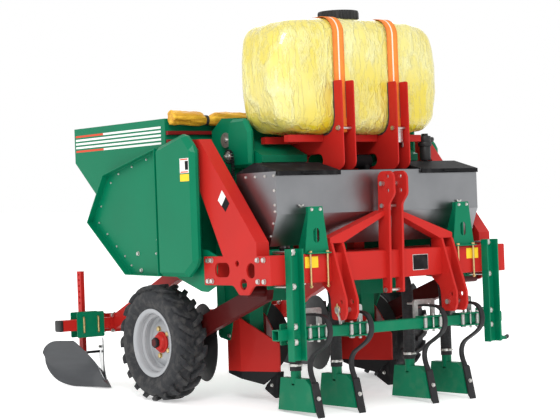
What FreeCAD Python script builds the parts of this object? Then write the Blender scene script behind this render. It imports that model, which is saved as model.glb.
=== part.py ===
import FreeCAD, Part
import math
import os
import re
import Sketcher

# Two-row tuber planter with a fertiliser box, a spray tank and three-point hitch.
#
# Every sub-part is drawn from one datum: X = 0 on the centre plane, Y = 0 on the front face of
# the front beam with +Y to the rear, and Z = 0 under the tyres.  A sub-part's Placement moves it
# to the machine's own origin: below the middle of its length, at the level of its tine tips.
# A "rule" is a size written in the words of the sheet, such as "beam_top - beam_size".

SIZES = {
    "main frame": {
        "half_width": 876, "frame_depth": 617, "beam_size": 160, "beam_top": 838, "beam_wall": 8,
        "plate_wall": 12, "flap_wall": 8, "rear_beam_depth": 104, "tongue_drop": 53,
        "bolt_inset": 22, "bolt_hole": 8.5, "bolt_radius": 8, "front_bolt_a": 55,
        "front_bolt_b": 110, "rear_bolt_a": 540, "rear_bolt_b": 578,
    },
    "side beams": {
        "side_beam_width": 86, "side_beam_wall": 6, "side_beam_front": 120,
        "side_beam_foot": 432, "side_beam_top": 1500, "side_beam_top_front": 627,
        "side_beam_top_rear": 790,
    },
    "mast": {
        "mast_gap": 81, "mast_plate": 15, "mast_top": 1282, "mast_foot": 596,
        "mast_front": 24, "mast_head_front": 85, "mast_head_rear": 49, "link_hole": 12.85,
        "link_pin_y": 2, "link_pin_z": 1212, "link_pin_radius": 12.75, "spare_hole_y": 33,
        "spare_hole_step": 40, "spacer_bolt_z": 1087, "brace_top": 1062, "brace_width": 80,
        "brace_thick": 30, "brace_end": 890,
    },
    "lower hitch": {
        "hitch_half": 411, "hitch_gap": 63, "hitch_plate": 15, "hitch_top": 890,
        "hitch_bottom": 469, "hitch_front": 115, "hitch_knee": 580, "pin_hole": 14.3,
        "pin_radius": 14.2, "pin_y": 50, "pin_z": 523, "spare_pin_y": 74, "spare_pin_z": 566,
    },
    "channels and toolbar": {
        "channel_half": 732, "channel_width": 90, "channel_depth": 50, "channel_wall": 8,
        "channel_top": 870, "channel_bottom": 266, "clamp_plate": 10, "toolbar_half": 836,
        "toolbar_size": 60, "toolbar_wall": 6, "toolbar_bottom": 378,
    },
    "tines": {
        "inner_tine": 276, "outer_tine": 569.5, "tine_width": 32, "tine_thick": 14,
        "tine_toe": 14, "tine_slope": 0.23, "tine_depth": 59, "tine_roof": 512,
        "tine_end": 122, "tine_nose": 88, "tine_bulge": 118, "tine_bulge_z": 395,
        "tine_heel": 100, "tine_heel_z": 196, "tine_knee_z": 140, "point_width": 46,
        "point_thick": 10, "point_top": 135, "arch_width": 160, "arch_bar": 28,
        "arch_thick": 16, "arch_top": 540, "tine_clamp_width": 150, "tine_clamp_thick": 8,
    },
    "fertiliser boots and hoses": {
        "boot_thick": 46, "boot_top": 150, "boot_bottom": -32, "boot_rear": 318,
        "boot_heel": 350, "boot_wall": 3, "neck_y": 207, "neck_radius": 29, "neck_top": 245,
        "neck_wall": 3, "hose_fit": 0.3, "hose_wall": 4, "hose_grip": 55, "hose_bend_low": 600,
        "hose_bend_high": 760, "outlet_length": 40,
    },
    "fertiliser box": {
        "box_half": 753, "box_top": 1294, "box_knee": 1060, "box_bottom": 885, "box_front": 85,
        "box_rear": 447, "box_floor_front": 159, "box_floor_rear": 373, "box_wall": 3,
        "ridge_rise": 51, "ridge_y": 272, "lid_start": 303, "lid_wall": 3, "lid_clear": 0.6,
        "hinge_space": 5, "meter_radius": 10, "meter_fit": 0.06, "meter_y": 266, "meter_z": 960,
        "bracket_half": 550, "bracket_foot": 165, "bracket_head": 95, "bracket_top": 1096,
        "bracket_wall": 6, "foot_plate": 6,
    },
    "tank": {
        "tank_y": 412, "tank_half": 624, "tank_reach": 235, "tank_bottom": 1505,
        "tank_top": 2175, "tank_corner": 120, "tank_edge": 100, "tank_wall": 6,
        "tank_neck": 105, "tank_neck_height": 40, "cap_radius": 117.5, "cap_wall": 8,
        "cap_height": 54, "cap_fit": 0.5, "strap_half": 203.5, "strap_width": 79,
        "strap_thick": 4, "strap_clear": 0.5, "strap_end": 1545,
    },
    "tank cradle": {
        "cradle_inner": 160, "cradle_outer": 247, "cradle_plate": 8, "cradle_front": 106,
        "cradle_upright": 1804, "cradle_corner": 55, "cradle_clear": 0.3, "rail_height": 40,
        "rail_width": 40, "rail_front": 285, "rail_rear": 500, "rail_half": 500,
        "post_front": 540, "post_depth": 70, "pump_radius": 40, "pump_y": 330, "pump_length": 240,
    },
    "seed elevators": {
        "row_half": 428, "casing_half": 162, "casing_wall": 3, "casing_rear": 900,
        "casing_bottom": 560, "casing_top": 1630, "nose_y": 418, "nose_low": 1358,
        "nose_high": 1398, "chute_half": 50, "chute_front": 745, "chute_rear": 897,
        "chute_bottom": 250, "head_y": 740, "head_z": 1500, "head_radius": 15,
        "head_fit": 0.06, "belt_radius": 38, "belt_thick": 5, "belt_width": 80,
        "foot_y": 831, "foot_z": 400, "cup_height": 32, "cup_reach": 20,
    },
    "seed hopper": {
        "hopper_half": 880, "hopper_front": 959, "hopper_rear": 1977, "hopper_top": 1640,
        "hopper_back": 1428, "hopper_floor": 760, "hopper_floor_end": 1205, "hopper_wall": 4,
        "roll_radius": 45, "roll_z": 1640,
    },
    "side covers": {
        "cover_outer": 950, "cover_wall": 3, "cover_front": 600,
    },
    "wheels": {
        "wheel_half": 853, "wheel_y": 1100, "tyre_radius": 338, "tyre_width": 190,
        "lug_height": 20, "lug_count": 20, "rim_radius": 178, "rim_flange": 199,
        "axle_radius": 22, "axle_fit": 0.05, "hub_radius": 52, "rim_wall": 6, "arm_inner": 704,
        "arm_wide": 42, "arm_pivot_y": 248, "arm_pivot_z": 684, "tongue_hole": 31,
    },
    "furrow openers": {
        "opener_front": 534, "opener_flare": 780, "opener_rear": 905, "opener_half": 100,
        "opener_wall": 6, "opener_top_front": 319, "opener_top_rear": 542,
        "share_top": 157, "share_tip": 4, "share_width": 40, "hanger_wall": 8,
    },
    "covering discs": {
        "disc_inner": 224, "disc_outer": 628, "disc_y": 1000, "disc_z": 323, "disc_radius": 230,
        "disc_dish": 34, "disc_wall": 5, "disc_toe": 15, "spindle_radius": 12,
        "spindle_fit": 0.06, "disc_arm": 10,
    },
    "rear bar and ridgers": {
        "rear_bar_half": 1045, "rear_bar_size": 70, "rear_bar_front": 1915,
        "rear_bar_bottom": 385, "rear_bar_wall": 6, "rear_arm_half": 660, "rear_arm_wide": 50,
        "clamp_half": 97, "clamp_wall": 5, "post_width": 25, "post_long": 45,
        "post_bottom": 250, "post_top": 751, "post_fit": 0.3, "post_hole": 8, "post_pitch": 36,
        "ridger_tip_y": 1692, "wing_end": 2150, "wing_reach": 221, "wing_wall": 6,
        "wing_top": 325, "wing_low": 240, "ridger_tip_z": 38,
    },
}

FUNCTIONS = {"sin", "cos", "tan", "atan", "sqrt"}
PLANES = {"side": "YZ_Plane", "front": "XZ_Plane", "top": "XY_Plane"}
MIDDLE = "(wing_end - hitch_front) / 2"
ORIGIN = ("0", "0", "0")

doc = FreeCAD.newDocument("planter")
sheet = doc.addObject("Spreadsheet::Sheet", "Size")
nodes = []


# ---------------------------------------------------------------- sheet and rules
def fill_sheet():
    row = 1
    for title, group in SIZES.items():
        sheet.set(f"A{row}", title)
        for alias, value in group.items():
            row += 1
            sheet.set(f"A{row}", alias.replace("_", " "))
            sheet.set(f"B{row}", str(value))
            sheet.setAlias(f"B{row}", alias)
        row += 2
    doc.recompute()


def bound(rule):
    """The rule as an expression: each word of the sheet gets the sheet's name."""
    return re.sub(
        r"[a-z][a-z_]*", lambda m: m.group() if m.group() in FUNCTIONS else "Size." + m.group(), rule
    )


def amount(rule):
    """The number that a rule gives now."""
    value = sheet.evalExpression(bound(rule))
    return float(getattr(value, "Value", value))


# ---------------------------------------------------------------- sketches
def new_sketch(body, plane, start):
    sketch = body.newObject("Sketcher::SketchObject", f"{body.Name}_{plane}")
    support = next(f for f in body.Origin.OriginFeatures if f.Role == PLANES[plane])
    sketch.AttachmentSupport = [(support, "")]
    sketch.MapMode = "FlatFace"
    offset = f"-({start})" if plane == "front" else start
    sketch.setExpression("AttachmentOffset.Base.z", bound(offset))
    return sketch


def hold(sketch, kind, geometry, end, rule):
    """Holds one end of a line, or a centre, at a distance from the sketch's origin."""
    index = sketch.addConstraint(Sketcher.Constraint(kind, -1, 1, geometry, end, amount(rule)))
    sketch.setExpression(f"Constraints[{index}]", bound(rule))


def hold_radius(sketch, geometry, rule):
    index = sketch.addConstraint(Sketcher.Constraint("Radius", geometry, amount(rule)))
    sketch.setExpression(f"Constraints[{index}]", bound(rule))


def circle(sketch, across, up, radius):
    centre = FreeCAD.Vector(amount(across), amount(up), 0)
    ring = Part.Circle(centre, FreeCAD.Vector(0, 0, 1), amount(radius))
    index = sketch.addGeometry(ring, False)
    hold(sketch, "DistanceX", index, 3, across)
    hold(sketch, "DistanceY", index, 3, up)
    hold_radius(sketch, index, radius)


def round_corner(sketch, corner, spots, ends, radius, before, after):
    """An arc tangent to two sides, with the sharp corner kept as a construction point."""
    last, here, following = spots
    entry, leave = ends
    back = (last - here).normalize()
    ahead = (following - here).normalize()
    centre = here + (back + ahead).normalize() * (radius / math.sin(back.getAngle(ahead) / 2))
    turns_left = back.cross(ahead).z < 0
    start, end = (entry, leave) if turns_left else (leave, entry)
    angles = [math.atan2(p.y - centre.y, p.x - centre.x) for p in (start, end)]
    ring = Part.Circle(centre, FreeCAD.Vector(0, 0, 1), radius)
    arc = sketch.addGeometry(Part.ArcOfCircle(ring, *angles), False)
    first, second = (1, 2) if turns_left else (2, 1)
    sketch.addConstraint(Sketcher.Constraint("Tangent", before, 2, arc, first))
    sketch.addConstraint(Sketcher.Constraint("Tangent", arc, second, after, 1))
    hold_radius(sketch, arc, corner[2])
    point = sketch.addGeometry(Part.Point(here), True)
    hold(sketch, "DistanceX", point, 1, corner[0])
    hold(sketch, "DistanceY", point, 1, corner[1])
    sketch.addConstraint(Sketcher.Constraint("PointOnObject", point, 1, before))
    sketch.addConstraint(Sketcher.Constraint("PointOnObject", point, 1, after))


def outline(sketch, corners):
    """Draws a closed outline whose corners are (across, up) or (across, up, radius) rules."""
    count = len(corners)
    spots = [FreeCAD.Vector(amount(c[0]), amount(c[1]), 0) for c in corners]
    radii = [amount(c[2]) if len(c) > 2 else 0.0 for c in corners]
    ends = []
    for i, here in enumerate(spots):
        back = (spots[i - 1] - here).normalize()
        ahead = (spots[(i + 1) % count] - here).normalize()
        trim = radii[i] / math.tan(back.getAngle(ahead) / 2)
        ends.append((here + back * trim, here + ahead * trim))
    sides = [
        sketch.addGeometry(Part.LineSegment(ends[i][1], ends[(i + 1) % count][0]), False)
        for i in range(count)
    ]
    for i, corner in enumerate(corners):
        before, after = sides[i - 1], sides[i]
        if radii[i] > 0:
            near = (spots[i - 1], spots[i], spots[(i + 1) % count])
            round_corner(sketch, corner, near, ends[i], radii[i], before, after)
        else:
            sketch.addConstraint(Sketcher.Constraint("Coincident", before, 2, after, 1))
            hold(sketch, "DistanceX", after, 1, corner[0])
            hold(sketch, "DistanceY", after, 1, corner[1])


def draw(body, plane, start, loops):
    """A sketch of loops: each is a list of corners, or ("circle", across, up, radius)."""
    sketch = new_sketch(body, plane, start)
    for loop in loops:
        if loop[0] == "circle":
            circle(sketch, *loop[1:])
        else:
            outline(sketch, loop)
    return sketch


def box_loop(low_across, high_across, low_up, high_up, radius=None):
    corners = [
        (low_across, low_up), (high_across, low_up), (high_across, high_up), (low_across, high_up)
    ]
    if radius:
        return [(*corner, radius) for corner in corners]
    return corners


def inset(corners, wall):
    """Corners moved inwards by a wall; each corner gives the side signs of its inward way."""
    return [(f"{a} + ({da}) * {wall}", f"{u} + ({du}) * {wall}") for a, u, da, du in corners]


def plain(corners):
    return [(a, u) for a, u, _, _ in corners]


# ---------------------------------------------------------------- features
def new_body(name):
    body = doc.addObject("PartDesign::Body", name)
    body.Label = name
    return body


def finish(piece, at=ORIGIN):
    """Moves a finished sub-part from its drawing datum to the machine's origin."""
    piece.setExpression("Placement.Base.x", bound(at[0]))
    piece.setExpression("Placement.Base.y", bound(f"{at[1]} - {MIDDLE}"))
    piece.setExpression("Placement.Base.z", bound(f"{at[2]} + tine_depth"))
    nodes.append(piece)
    return piece


def add(body, plane, loops, start, length):
    """Pads loops from start along the plane's positive axis."""
    pad = body.newObject("PartDesign::Pad", f"{body.Name}_pad")
    pad.Profile = draw(body, plane, start, loops)
    pad.setExpression("Length", bound(length))
    pad.Reversed = plane == "front"
    return pad


def cut(body, plane, loops, start, length):
    """Cuts loops from start along the plane's positive axis."""
    pocket = body.newObject("PartDesign::Pocket", f"{body.Name}_pocket")
    pocket.Profile = draw(body, plane, start, loops)
    pocket.setExpression("Length", bound(length))
    pocket.Reversed = plane != "front"
    return pocket


def spin(body, loops, axis="X_Axis", cutting=False):
    """Turns a half section, drawn on the front plane, about an axis of the body."""
    kind = "PartDesign::Groove" if cutting else "PartDesign::Revolution"
    feature = body.newObject(kind, f"{body.Name}_turned")
    feature.Profile = draw(body, "front", "0", loops)
    line = next(f for f in body.Origin.OriginFeatures if f.Role == axis)
    feature.ReferenceAxis = (line, [""])
    feature.Angle = 360
    return feature


def repeat_round(body, feature, count, axis="X_Axis"):
    pattern = body.newObject("PartDesign::PolarPattern", f"{body.Name}_ring")
    pattern.Originals = [feature]
    line = next(f for f in body.Origin.OriginFeatures if f.Role == axis)
    pattern.Axis = (line, [""])
    pattern.Angle = 360
    pattern.setExpression("Occurrences", bound(count))
    body.Tip = pattern
    return pattern


def both_sides(rule, thickness):
    """Where a plate starts on the right and on the left, from its inner face on the right."""
    return [rule, f"-({rule}) - ({thickness})"]


# ---------------------------------------------------------------- main frame
def bolt_rows():
    low = "beam_top - beam_size + bolt_inset"
    high = "beam_top - bolt_inset"
    columns = ("front_bolt_a", "front_bolt_b", "rear_bolt_a", "rear_bolt_b")
    return [(column, height) for column in columns for height in (low, high)]


def bolt_holes(rows):
    return [("circle", y, z, "bolt_hole") for y, z in rows]


def make_beam(name, front, rear, half_length, rows):
    """A box beam with an end plate that the side plates are bolted to."""
    body = new_body(name)
    bottom = "beam_top - beam_size"
    tube = box_loop(front, rear, bottom, "beam_top", "beam_wall")
    add(body, "side", [tube], f"-({half_length})", f"2 * ({half_length})")
    inner = box_loop(
        f"{front} + beam_wall", f"{rear} - beam_wall", f"{bottom} + beam_wall", "beam_top - beam_wall"
    )
    hollow = f"{half_length} - plate_wall"
    cut(body, "side", [inner], f"-({hollow})", f"2 * ({hollow})")
    for start in (f"-({half_length})", f"{half_length} - plate_wall"):
        cut(body, "side", bolt_holes(rows), start, "plate_wall")
    finish(body)


def make_side_plates():
    body = new_body("side_plates")
    bottom = "beam_top - beam_size"
    shape = [
        ("0", "beam_top", "8"), ("frame_depth", "beam_top", "8"), ("frame_depth", bottom, "8"),
        ("arm_pivot_y + 95", bottom, "45"), (f"arm_pivot_y + 42", f"{bottom} - tongue_drop", "30"),
        ("arm_pivot_y - 42", f"{bottom} - tongue_drop", "30"), ("arm_pivot_y - 95", bottom, "45"),
        ("0", bottom, "8"),
    ]
    windows = [
        box_loop("375", "513", "beam_top - 116", "beam_top - 35", "34"),
        ("circle", "176", "beam_top - 79", "42"),
        ("circle", "302", "beam_top - 40", "17"),
        ("circle", "arm_pivot_y", "arm_pivot_z", "tongue_hole"),
    ]
    for start in both_sides("half_width - plate_wall", "plate_wall"):
        add(body, "side", [shape] + windows + bolt_holes(bolt_rows()), start, "plate_wall")
    finish(body)


def make_frame_flaps():
    """Plates between the rear beam and the side plates, reaching back to the hopper."""
    body = new_body("frame_flaps")
    shape = [
        ("506", "beam_top + 2"), ("600", "beam_top + 36", "20"), ("660", "beam_top + 40"),
        ("hopper_front", "beam_top + 40"), ("hopper_front", "hopper_floor - 10"),
        ("899", "beam_top - 124", "20"), ("667", "beam_top - 198", "20"),
        ("611", "beam_top - 201", "20"), ("523", "beam_top - 164", "10"),
    ]
    rows = [row for row in bolt_rows() if row[0].startswith("rear")]
    inner = "half_width - plate_wall - flap_wall"
    for start in both_sides(inner, "flap_wall"):
        add(body, "side", [shape] + bolt_holes(rows), start, "flap_wall")
    finish(body)


def make_side_beams():
    body = new_body("side_beams")
    corners = [
        ("side_beam_front", "beam_top", "1", "0"), ("side_beam_front", "beam_top + 72", "1", "0"),
        ("side_beam_top_front", "side_beam_top", "1", "-1"),
        ("side_beam_top_rear", "side_beam_top", "-2", "-1"),
        ("side_beam_foot", "beam_top", "-2", "0"),
    ]
    inner = "half_width - side_beam_width"
    for start in both_sides(inner, "side_beam_width"):
        add(body, "side", [plain(corners)], start, "side_beam_width")
        cut(
            body, "side", [inset(corners, "side_beam_wall")],
            f"{start} + side_beam_wall", "side_beam_width - 2 * side_beam_wall",
        )
    finish(body)


# ---------------------------------------------------------------- headstock
def make_mast_plates():
    body = new_body("mast_plates")
    bottom = "beam_top - beam_size"
    shape = [
        ("-mast_front", "mast_foot", "10"), ("36", "mast_foot", "10"), ("36", bottom), ("0", bottom),
        ("0", "beam_top"), ("62", "beam_top"), ("mast_head_rear", "spacer_bolt_z + 90", "60"),
        ("mast_head_rear", "mast_top", "45"), ("-mast_head_front", "mast_top", "45"),
        ("-mast_head_front", "spacer_bolt_z + 62", "40"), ("-mast_front - 14", "spacer_bolt_z + 10", "40"),
    ]
    holes = [
        ("circle", "link_pin_y", "link_pin_z", "link_hole"),
        ("circle", "-spare_hole_y", "link_pin_z + spare_hole_step", "link_hole"),
        ("circle", "-spare_hole_y", "link_pin_z - spare_hole_step", "link_hole"),
        ("circle", "15", "spacer_bolt_z", "bolt_hole"),
        ("circle", "8", "mast_foot + 16", "bolt_hole"),
    ]
    for start in both_sides("mast_gap / 2", "mast_plate"):
        add(body, "side", [shape] + holes, start, "mast_plate")
    finish(body)


def make_mast_braces():
    """Struts from the mast down to the lower hitch plates, welded on the beam's top."""
    body = new_body("mast_braces")
    for side in ("", "-"):
        shape = [
            (f"{side}(mast_gap / 2 + mast_plate)", "brace_top"),
            (f"{side}(hitch_half + hitch_gap / 2 + hitch_plate)", "brace_end + brace_thick"),
            (f"{side}(hitch_half + hitch_gap / 2 + hitch_plate)", "brace_end"),
            (f"{side}(hitch_half - hitch_gap / 2 - hitch_plate)", "brace_end"),
            (f"{side}(mast_gap / 2 + mast_plate)", "brace_top - brace_thick"),
        ]
        add(body, "front", [shape], "0", "brace_width")
    finish(body)


def make_hitch_plates():
    body = new_body("hitch_plates")
    bottom = "beam_top - beam_size"
    shape = [
        ("-6", "hitch_top", "6"), ("brace_width", "hitch_top", "6"), ("brace_width", "beam_top"),
        ("0", "beam_top"), ("0", bottom), ("88", bottom), ("88", f"{bottom} - 12", "8"),
        ("16", f"{bottom} - 70", "60"), ("8", "hitch_bottom", "25"),
        ("-hitch_front + 20", "hitch_bottom", "25"), ("-hitch_front", "hitch_bottom + 40", "15"),
        ("-hitch_front", "hitch_knee", "30"),
    ]
    holes = [
        ("circle", "-pin_y", "pin_z", "pin_hole"),
        ("circle", "-spare_pin_y", "spare_pin_z", "pin_hole"),
    ]
    for inner in ("hitch_half + hitch_gap / 2", "hitch_half - hitch_gap / 2 - hitch_plate"):
        for start in both_sides(inner, "hitch_plate"):
            add(body, "side", [shape] + holes, start, "hitch_plate")
    finish(body)


def make_top_link_pin():
    body = new_body("top_link_pin")
    reach = "mast_gap / 2 + mast_plate"
    add(body, "side", [("circle", "0", "0", "link_pin_radius")], f"-({reach}) - 22", f"2 * ({reach}) + 40")
    add(body, "side", [("circle", "0", "0", "link_pin_radius + 7")], f"{reach} + 0.5", "9")
    add(body, "side", [("circle", "0", "44", "6")], f"{reach} + 3", "62")
    add(body, "side", [box_loop("-6", "6", "0", "50", "5")], f"{reach} + 3", "6")
    finish(body, at=("0", "link_pin_y", "link_pin_z"))


def make_lower_pins():
    """Draw pins of the lower links, each with a flat handle on its outer end."""
    for side, name in (("", "lower_link_pin_right"), ("-", "lower_link_pin_left")):
        body = new_body(name)
        inner = "hitch_half - hitch_gap / 2 - hitch_plate - 16"
        outer = "hitch_half + hitch_gap / 2 + hitch_plate + 14"
        span = f"{outer} - ({inner})"
        start = inner if not side else f"-({outer})"
        add(body, "side", [("circle", "0", "0", "pin_radius")], start, span)
        collar = "hitch_half + hitch_gap / 2 + hitch_plate + 0.5"
        collar_start = collar if not side else f"-({collar}) - 10"
        add(body, "side", [("circle", "0", "0", "pin_radius + 7")], collar_start, "10")
        handle = [("-8", "0", "4"), ("-30", "-72", "6"), ("-16", "-76", "6"), ("8", "-4", "4")]
        handle_start = f"{collar} + 2" if not side else f"-({collar}) - 8"
        add(body, "side", [handle], handle_start, "6")
        finish(body, at=("0", "-pin_y", "pin_z"))


# ---------------------------------------------------------------- channels and toolbar
def channel_bolt_heights():
    top = "toolbar_bottom + toolbar_size"
    return ["channel_top - 18", "beam_top - beam_size - 12", f"{top} + 12", "toolbar_bottom - 12"]


def make_channels():
    body = new_body("channels")
    for middle in ("channel_half", "-channel_half"):
        low = f"{middle} - channel_width / 2"
        high = f"{middle} + channel_width / 2"
        section = [
            (low, "-channel_depth"), (f"{low} + channel_wall", "-channel_depth"),
            (f"{low} + channel_wall", "-channel_wall"), (f"{high} - channel_wall", "-channel_wall"),
            (f"{high} - channel_wall", "-channel_depth"), (high, "-channel_depth"),
            (high, "0"), (low, "0"),
        ]
        add(body, "top", [section], "channel_bottom", "channel_top - channel_bottom")
        holes = [("circle", middle, height, "bolt_hole") for height in channel_bolt_heights()]
        cut(body, "front", holes, "-channel_wall", "channel_wall")
    finish(body)


def make_clamp_plates():
    """Backing plates that pull the channels against the beam and the toolbar."""
    body = new_body("clamp_plates")
    tops = channel_bolt_heights()
    for middle in ("channel_half", "-channel_half"):
        for back, high, low in (("beam_size", tops[0], tops[1]), ("toolbar_size", tops[2], tops[3])):
            plate = box_loop(
                f"{middle} - channel_width / 2", f"{middle} + channel_width / 2",
                f"{low} - 16", f"{high} + 16", "8",
            )
            holes = [("circle", middle, height, "bolt_hole") for height in (high, low)]
            add(body, "front", [plate] + holes, back, "clamp_plate")
    finish(body)


def make_toolbar():
    body = new_body("toolbar")
    top = "toolbar_bottom + toolbar_size"
    outer = box_loop("0", "toolbar_size", "toolbar_bottom", top, "8")
    inner = box_loop(
        "toolbar_wall", "toolbar_size - toolbar_wall", "toolbar_bottom + toolbar_wall",
        f"{top} - toolbar_wall",
    )
    add(body, "side", [outer, inner], "-toolbar_half", "2 * toolbar_half")
    finish(body)


# ---------------------------------------------------------------- tines
TINES = ("-outer_tine", "-inner_tine", "inner_tine", "outer_tine")


def tine_face(height, behind="0"):
    """Where the straight shank's front face lies at a height."""
    return f"tine_toe + tine_slope * ({height}) + ({behind}) * sqrt(1 + tine_slope * tine_slope)"


def tine_route():
    """Corners of the spring tine's centre line, from its fixed end to its toe, with radii."""
    return [
        ("tine_end", "tine_roof - tine_thick / 2", "0"),
        ("-tine_nose", "tine_roof - tine_thick / 2", "60"),
        ("-tine_bulge", "tine_bulge_z", "60"),
        ("tine_heel", "tine_heel_z", "28"),
        (tine_face("tine_knee_z", "tine_thick / 2"), "tine_knee_z", "50"),
        (tine_face("14 - tine_depth", "tine_thick / 2"), "14 - tine_depth", "0"),
    ]


def rounded_path(points, radii):
    """A wire of straight runs joined by tangent arcs."""
    edges = []
    start = points[0]
    for last, here, following, radius in zip(points, points[1:], points[2:], radii[1:]):
        back = (last - here).normalize()
        ahead = (following - here).normalize()
        half = back.getAngle(ahead) / 2
        entry = here + back * (radius / math.tan(half))
        leave = here + ahead * (radius / math.tan(half))
        middle = here + (back + ahead).normalize() * (radius / math.sin(half) - radius)
        edges.append(Part.LineSegment(start, entry).toShape())
        edges.append(Part.Arc(entry, middle, leave).toShape())
        start = leave
    edges.append(Part.LineSegment(start, points[-1]).toShape())
    return Part.Wire(edges)


def rectangle(centre, across, along, width, height):
    """A flat face about a centre, given two directions and sizes."""
    half = across * (width / 2)
    rise = along * (height / 2)
    corners = [centre - half - rise, centre + half - rise, centre + half + rise, centre - half + rise]
    return Part.Face(Part.makePolygon(corners + corners[:1]))


def sweep(section, path):
    return path.makePipeShell([section.OuterWire], True, False)


def keep_shape(name, shape, at=ORIGIN):
    """A sub-part whose shape comes from Part's own functions, placed after its shape."""
    piece = doc.addObject("Part::Feature", name)
    piece.Label = name
    piece.Shape = shape
    return finish(piece, at)


def make_spring_tines():
    """Flat spring steel bent along straight runs and arcs, which no pad can follow."""
    route = tine_route()
    radii = [amount(corner[2]) for corner in route]
    across = FreeCAD.Vector(1, 0, 0)
    up = FreeCAD.Vector(0, 0, 1)
    bars = []
    for side in TINES:
        points = [FreeCAD.Vector(amount(side), amount(y), amount(z)) for y, z, _ in route]
        section = rectangle(points[0], across, up, amount("tine_width"), amount("tine_thick"))
        bars.append(sweep(section, rounded_path(points, radii)))
    keep_shape("spring_tines", Part.makeCompound(bars))


def make_tine_points():
    """Renewable points on the fronts of the tines."""
    body = new_body("tine_points")
    low = "-tine_depth"
    shape = [
        (tine_face("point_top"), "point_top"), (tine_face("14 - tine_depth"), "14 - tine_depth"),
        (f"{tine_face(low)} - 2 - point_thick / 2", low), (f"{tine_face(low)} - point_thick", f"{low} + 3"),
        (f"{tine_face('point_top')} - point_thick", "point_top - 8"),
    ]
    for side in TINES:
        add(body, "side", [shape], f"{side} - point_width / 2", "point_width")
    finish(body)


def make_tine_arches():
    """Arched castings behind the toolbar; a tine's fixed end is bolted under each crown."""
    body = new_body("tine_arches")
    for side in TINES:
        low = f"{side} - arch_width / 2"
        high = f"{side} + arch_width / 2"
        foot = "toolbar_bottom + 22"
        shape = [
            (low, foot, "6"), (f"{low} + arch_bar", foot, "6"), (f"{low} + arch_bar", "tine_roof"),
            (f"{high} - arch_bar", "tine_roof"), (f"{high} - arch_bar", foot, "6"), (high, foot, "6"),
            (high, "arch_top", "14"), (low, "arch_top", "14"),
        ]
        add(body, "front", [shape], "toolbar_size", "arch_thick")
        add(
            body, "front", [box_loop(low, high, "tine_roof", "tine_roof + 12", "4")],
            "toolbar_size + arch_thick - 1", "tine_end - toolbar_size - arch_thick + 1",
        )
    finish(body)


TINE_BOLTS = (("-58", "-9"), ("58", "-9"), ("0", "toolbar_size + arch_thick + 12"))


def make_tine_clamps():
    """Plates over and under the toolbar that hold each arch with three bolts."""
    body = new_body("tine_clamps")
    for side in TINES:
        low = f"{side} - tine_clamp_width / 2"
        high = f"{side} + tine_clamp_width / 2"
        holes = [("circle", f"{side} + ({x})", y, "bolt_hole - 2.5") for x, y in TINE_BOLTS]
        rear = "toolbar_size"
        top = [
            (low, "-20", "6"), (high, "-20", "6"), (high, rear), (low, rear),
        ]
        bottom = [
            (low, "-20", "6"), (high, "-20", "6"), (high, "toolbar_size + arch_thick + 26", "6"),
            (low, "toolbar_size + arch_thick + 26", "6"),
        ]
        add(body, "top", [top] + holes[:2], "toolbar_bottom + toolbar_size", "tine_clamp_thick")
        add(body, "top", [bottom] + holes, "toolbar_bottom - tine_clamp_thick", "tine_clamp_thick")
    finish(body)


# ---------------------------------------------------------------- fertiliser boots and hoses
def make_fert_boots():
    """Flat sheet boots behind the tines, open underneath, each with a round neck."""
    body = new_body("fert_boots")
    nose = "boot_top - 35"
    front_low = tine_face("boot_bottom", "tine_thick")
    front_high = tine_face(nose, "tine_thick")
    outer = [
        (front_low, "boot_bottom"), ("boot_heel", "boot_bottom"), ("boot_rear", "boot_top"),
        ("100", "boot_top"), (front_high, nose),
    ]
    inner = [
        (f"{front_low} + boot_wall", "boot_bottom - 1"), ("boot_heel - boot_wall", "boot_bottom - 1"),
        ("boot_rear - boot_wall", "boot_top - boot_wall"), ("101", "boot_top - boot_wall"),
        (f"{front_high} + boot_wall", f"{nose} - 2"),
    ]
    for side in TINES:
        add(body, "side", [outer], f"{side} - boot_thick / 2", "boot_thick")
        add(
            body, "top", [("circle", side, "neck_y", "neck_radius")], "boot_top - 30",
            "neck_top - boot_top + 30",
        )
        cut(
            body, "side", [inner], f"{side} - boot_thick / 2 + boot_wall",
            "boot_thick - 2 * boot_wall",
        )
        cut(
            body, "top", [("circle", side, "neck_y", "neck_radius - neck_wall")], "boot_top - 40",
            "neck_top - boot_top + 41",
        )
    finish(body)


def make_drop_hoses():
    """Hoses from the box's outlets, down behind the front beam, over the boots' necks."""
    heights = ["box_bottom - 15", "hose_bend_high", "hose_bend_low", "neck_top - hose_grip"]
    depths = ["meter_y", "meter_y", "neck_y", "neck_y"]
    bore = amount("neck_radius + hose_fit")
    outer = bore + amount("hose_wall")
    hoses = []
    for side in TINES:
        points = [FreeCAD.Vector(amount(side), amount(y), amount(z)) for y, z in zip(depths, heights)]
        runs = [points[i + 1].sub(points[i]).Length for i in range(3)]
        turn = (points[1] - points[0]).getAngle(points[2] - points[1])
        radius = 0.45 * min(runs) / math.tan(turn / 2)
        path = rounded_path(points, [0, radius, radius])
        walls = []
        for size in (outer, bore):
            ring = Part.Wire([Part.Circle(points[0], FreeCAD.Vector(0, 0, 1), size).toShape()])
            walls.append(path.makePipeShell([ring], True, False))
        hoses.append(walls[0].cut(walls[1]))
        length = hoses[-1].Volume / (math.pi * (outer**2 - bore**2))
        route = f"{length:.0f} of {path.Length:.0f} mm"
        print(f"drop hose at x {amount(side):.1f}: arcs {radius:.0f} mm, {route}")
    keep_shape("drop_hoses", Part.makeCompound(hoses))


# ---------------------------------------------------------------- fertiliser box
def box_section():
    return [
        ("box_front", "box_top", "1", "1"), ("box_front", "box_knee", "1", "0"),
        ("box_floor_front", "box_bottom", "1", "1"), ("box_floor_rear", "box_bottom", "-1", "1"),
        ("box_rear", "box_knee", "-1", "0"), ("box_rear", "box_top", "-1", "1"),
    ]


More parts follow.
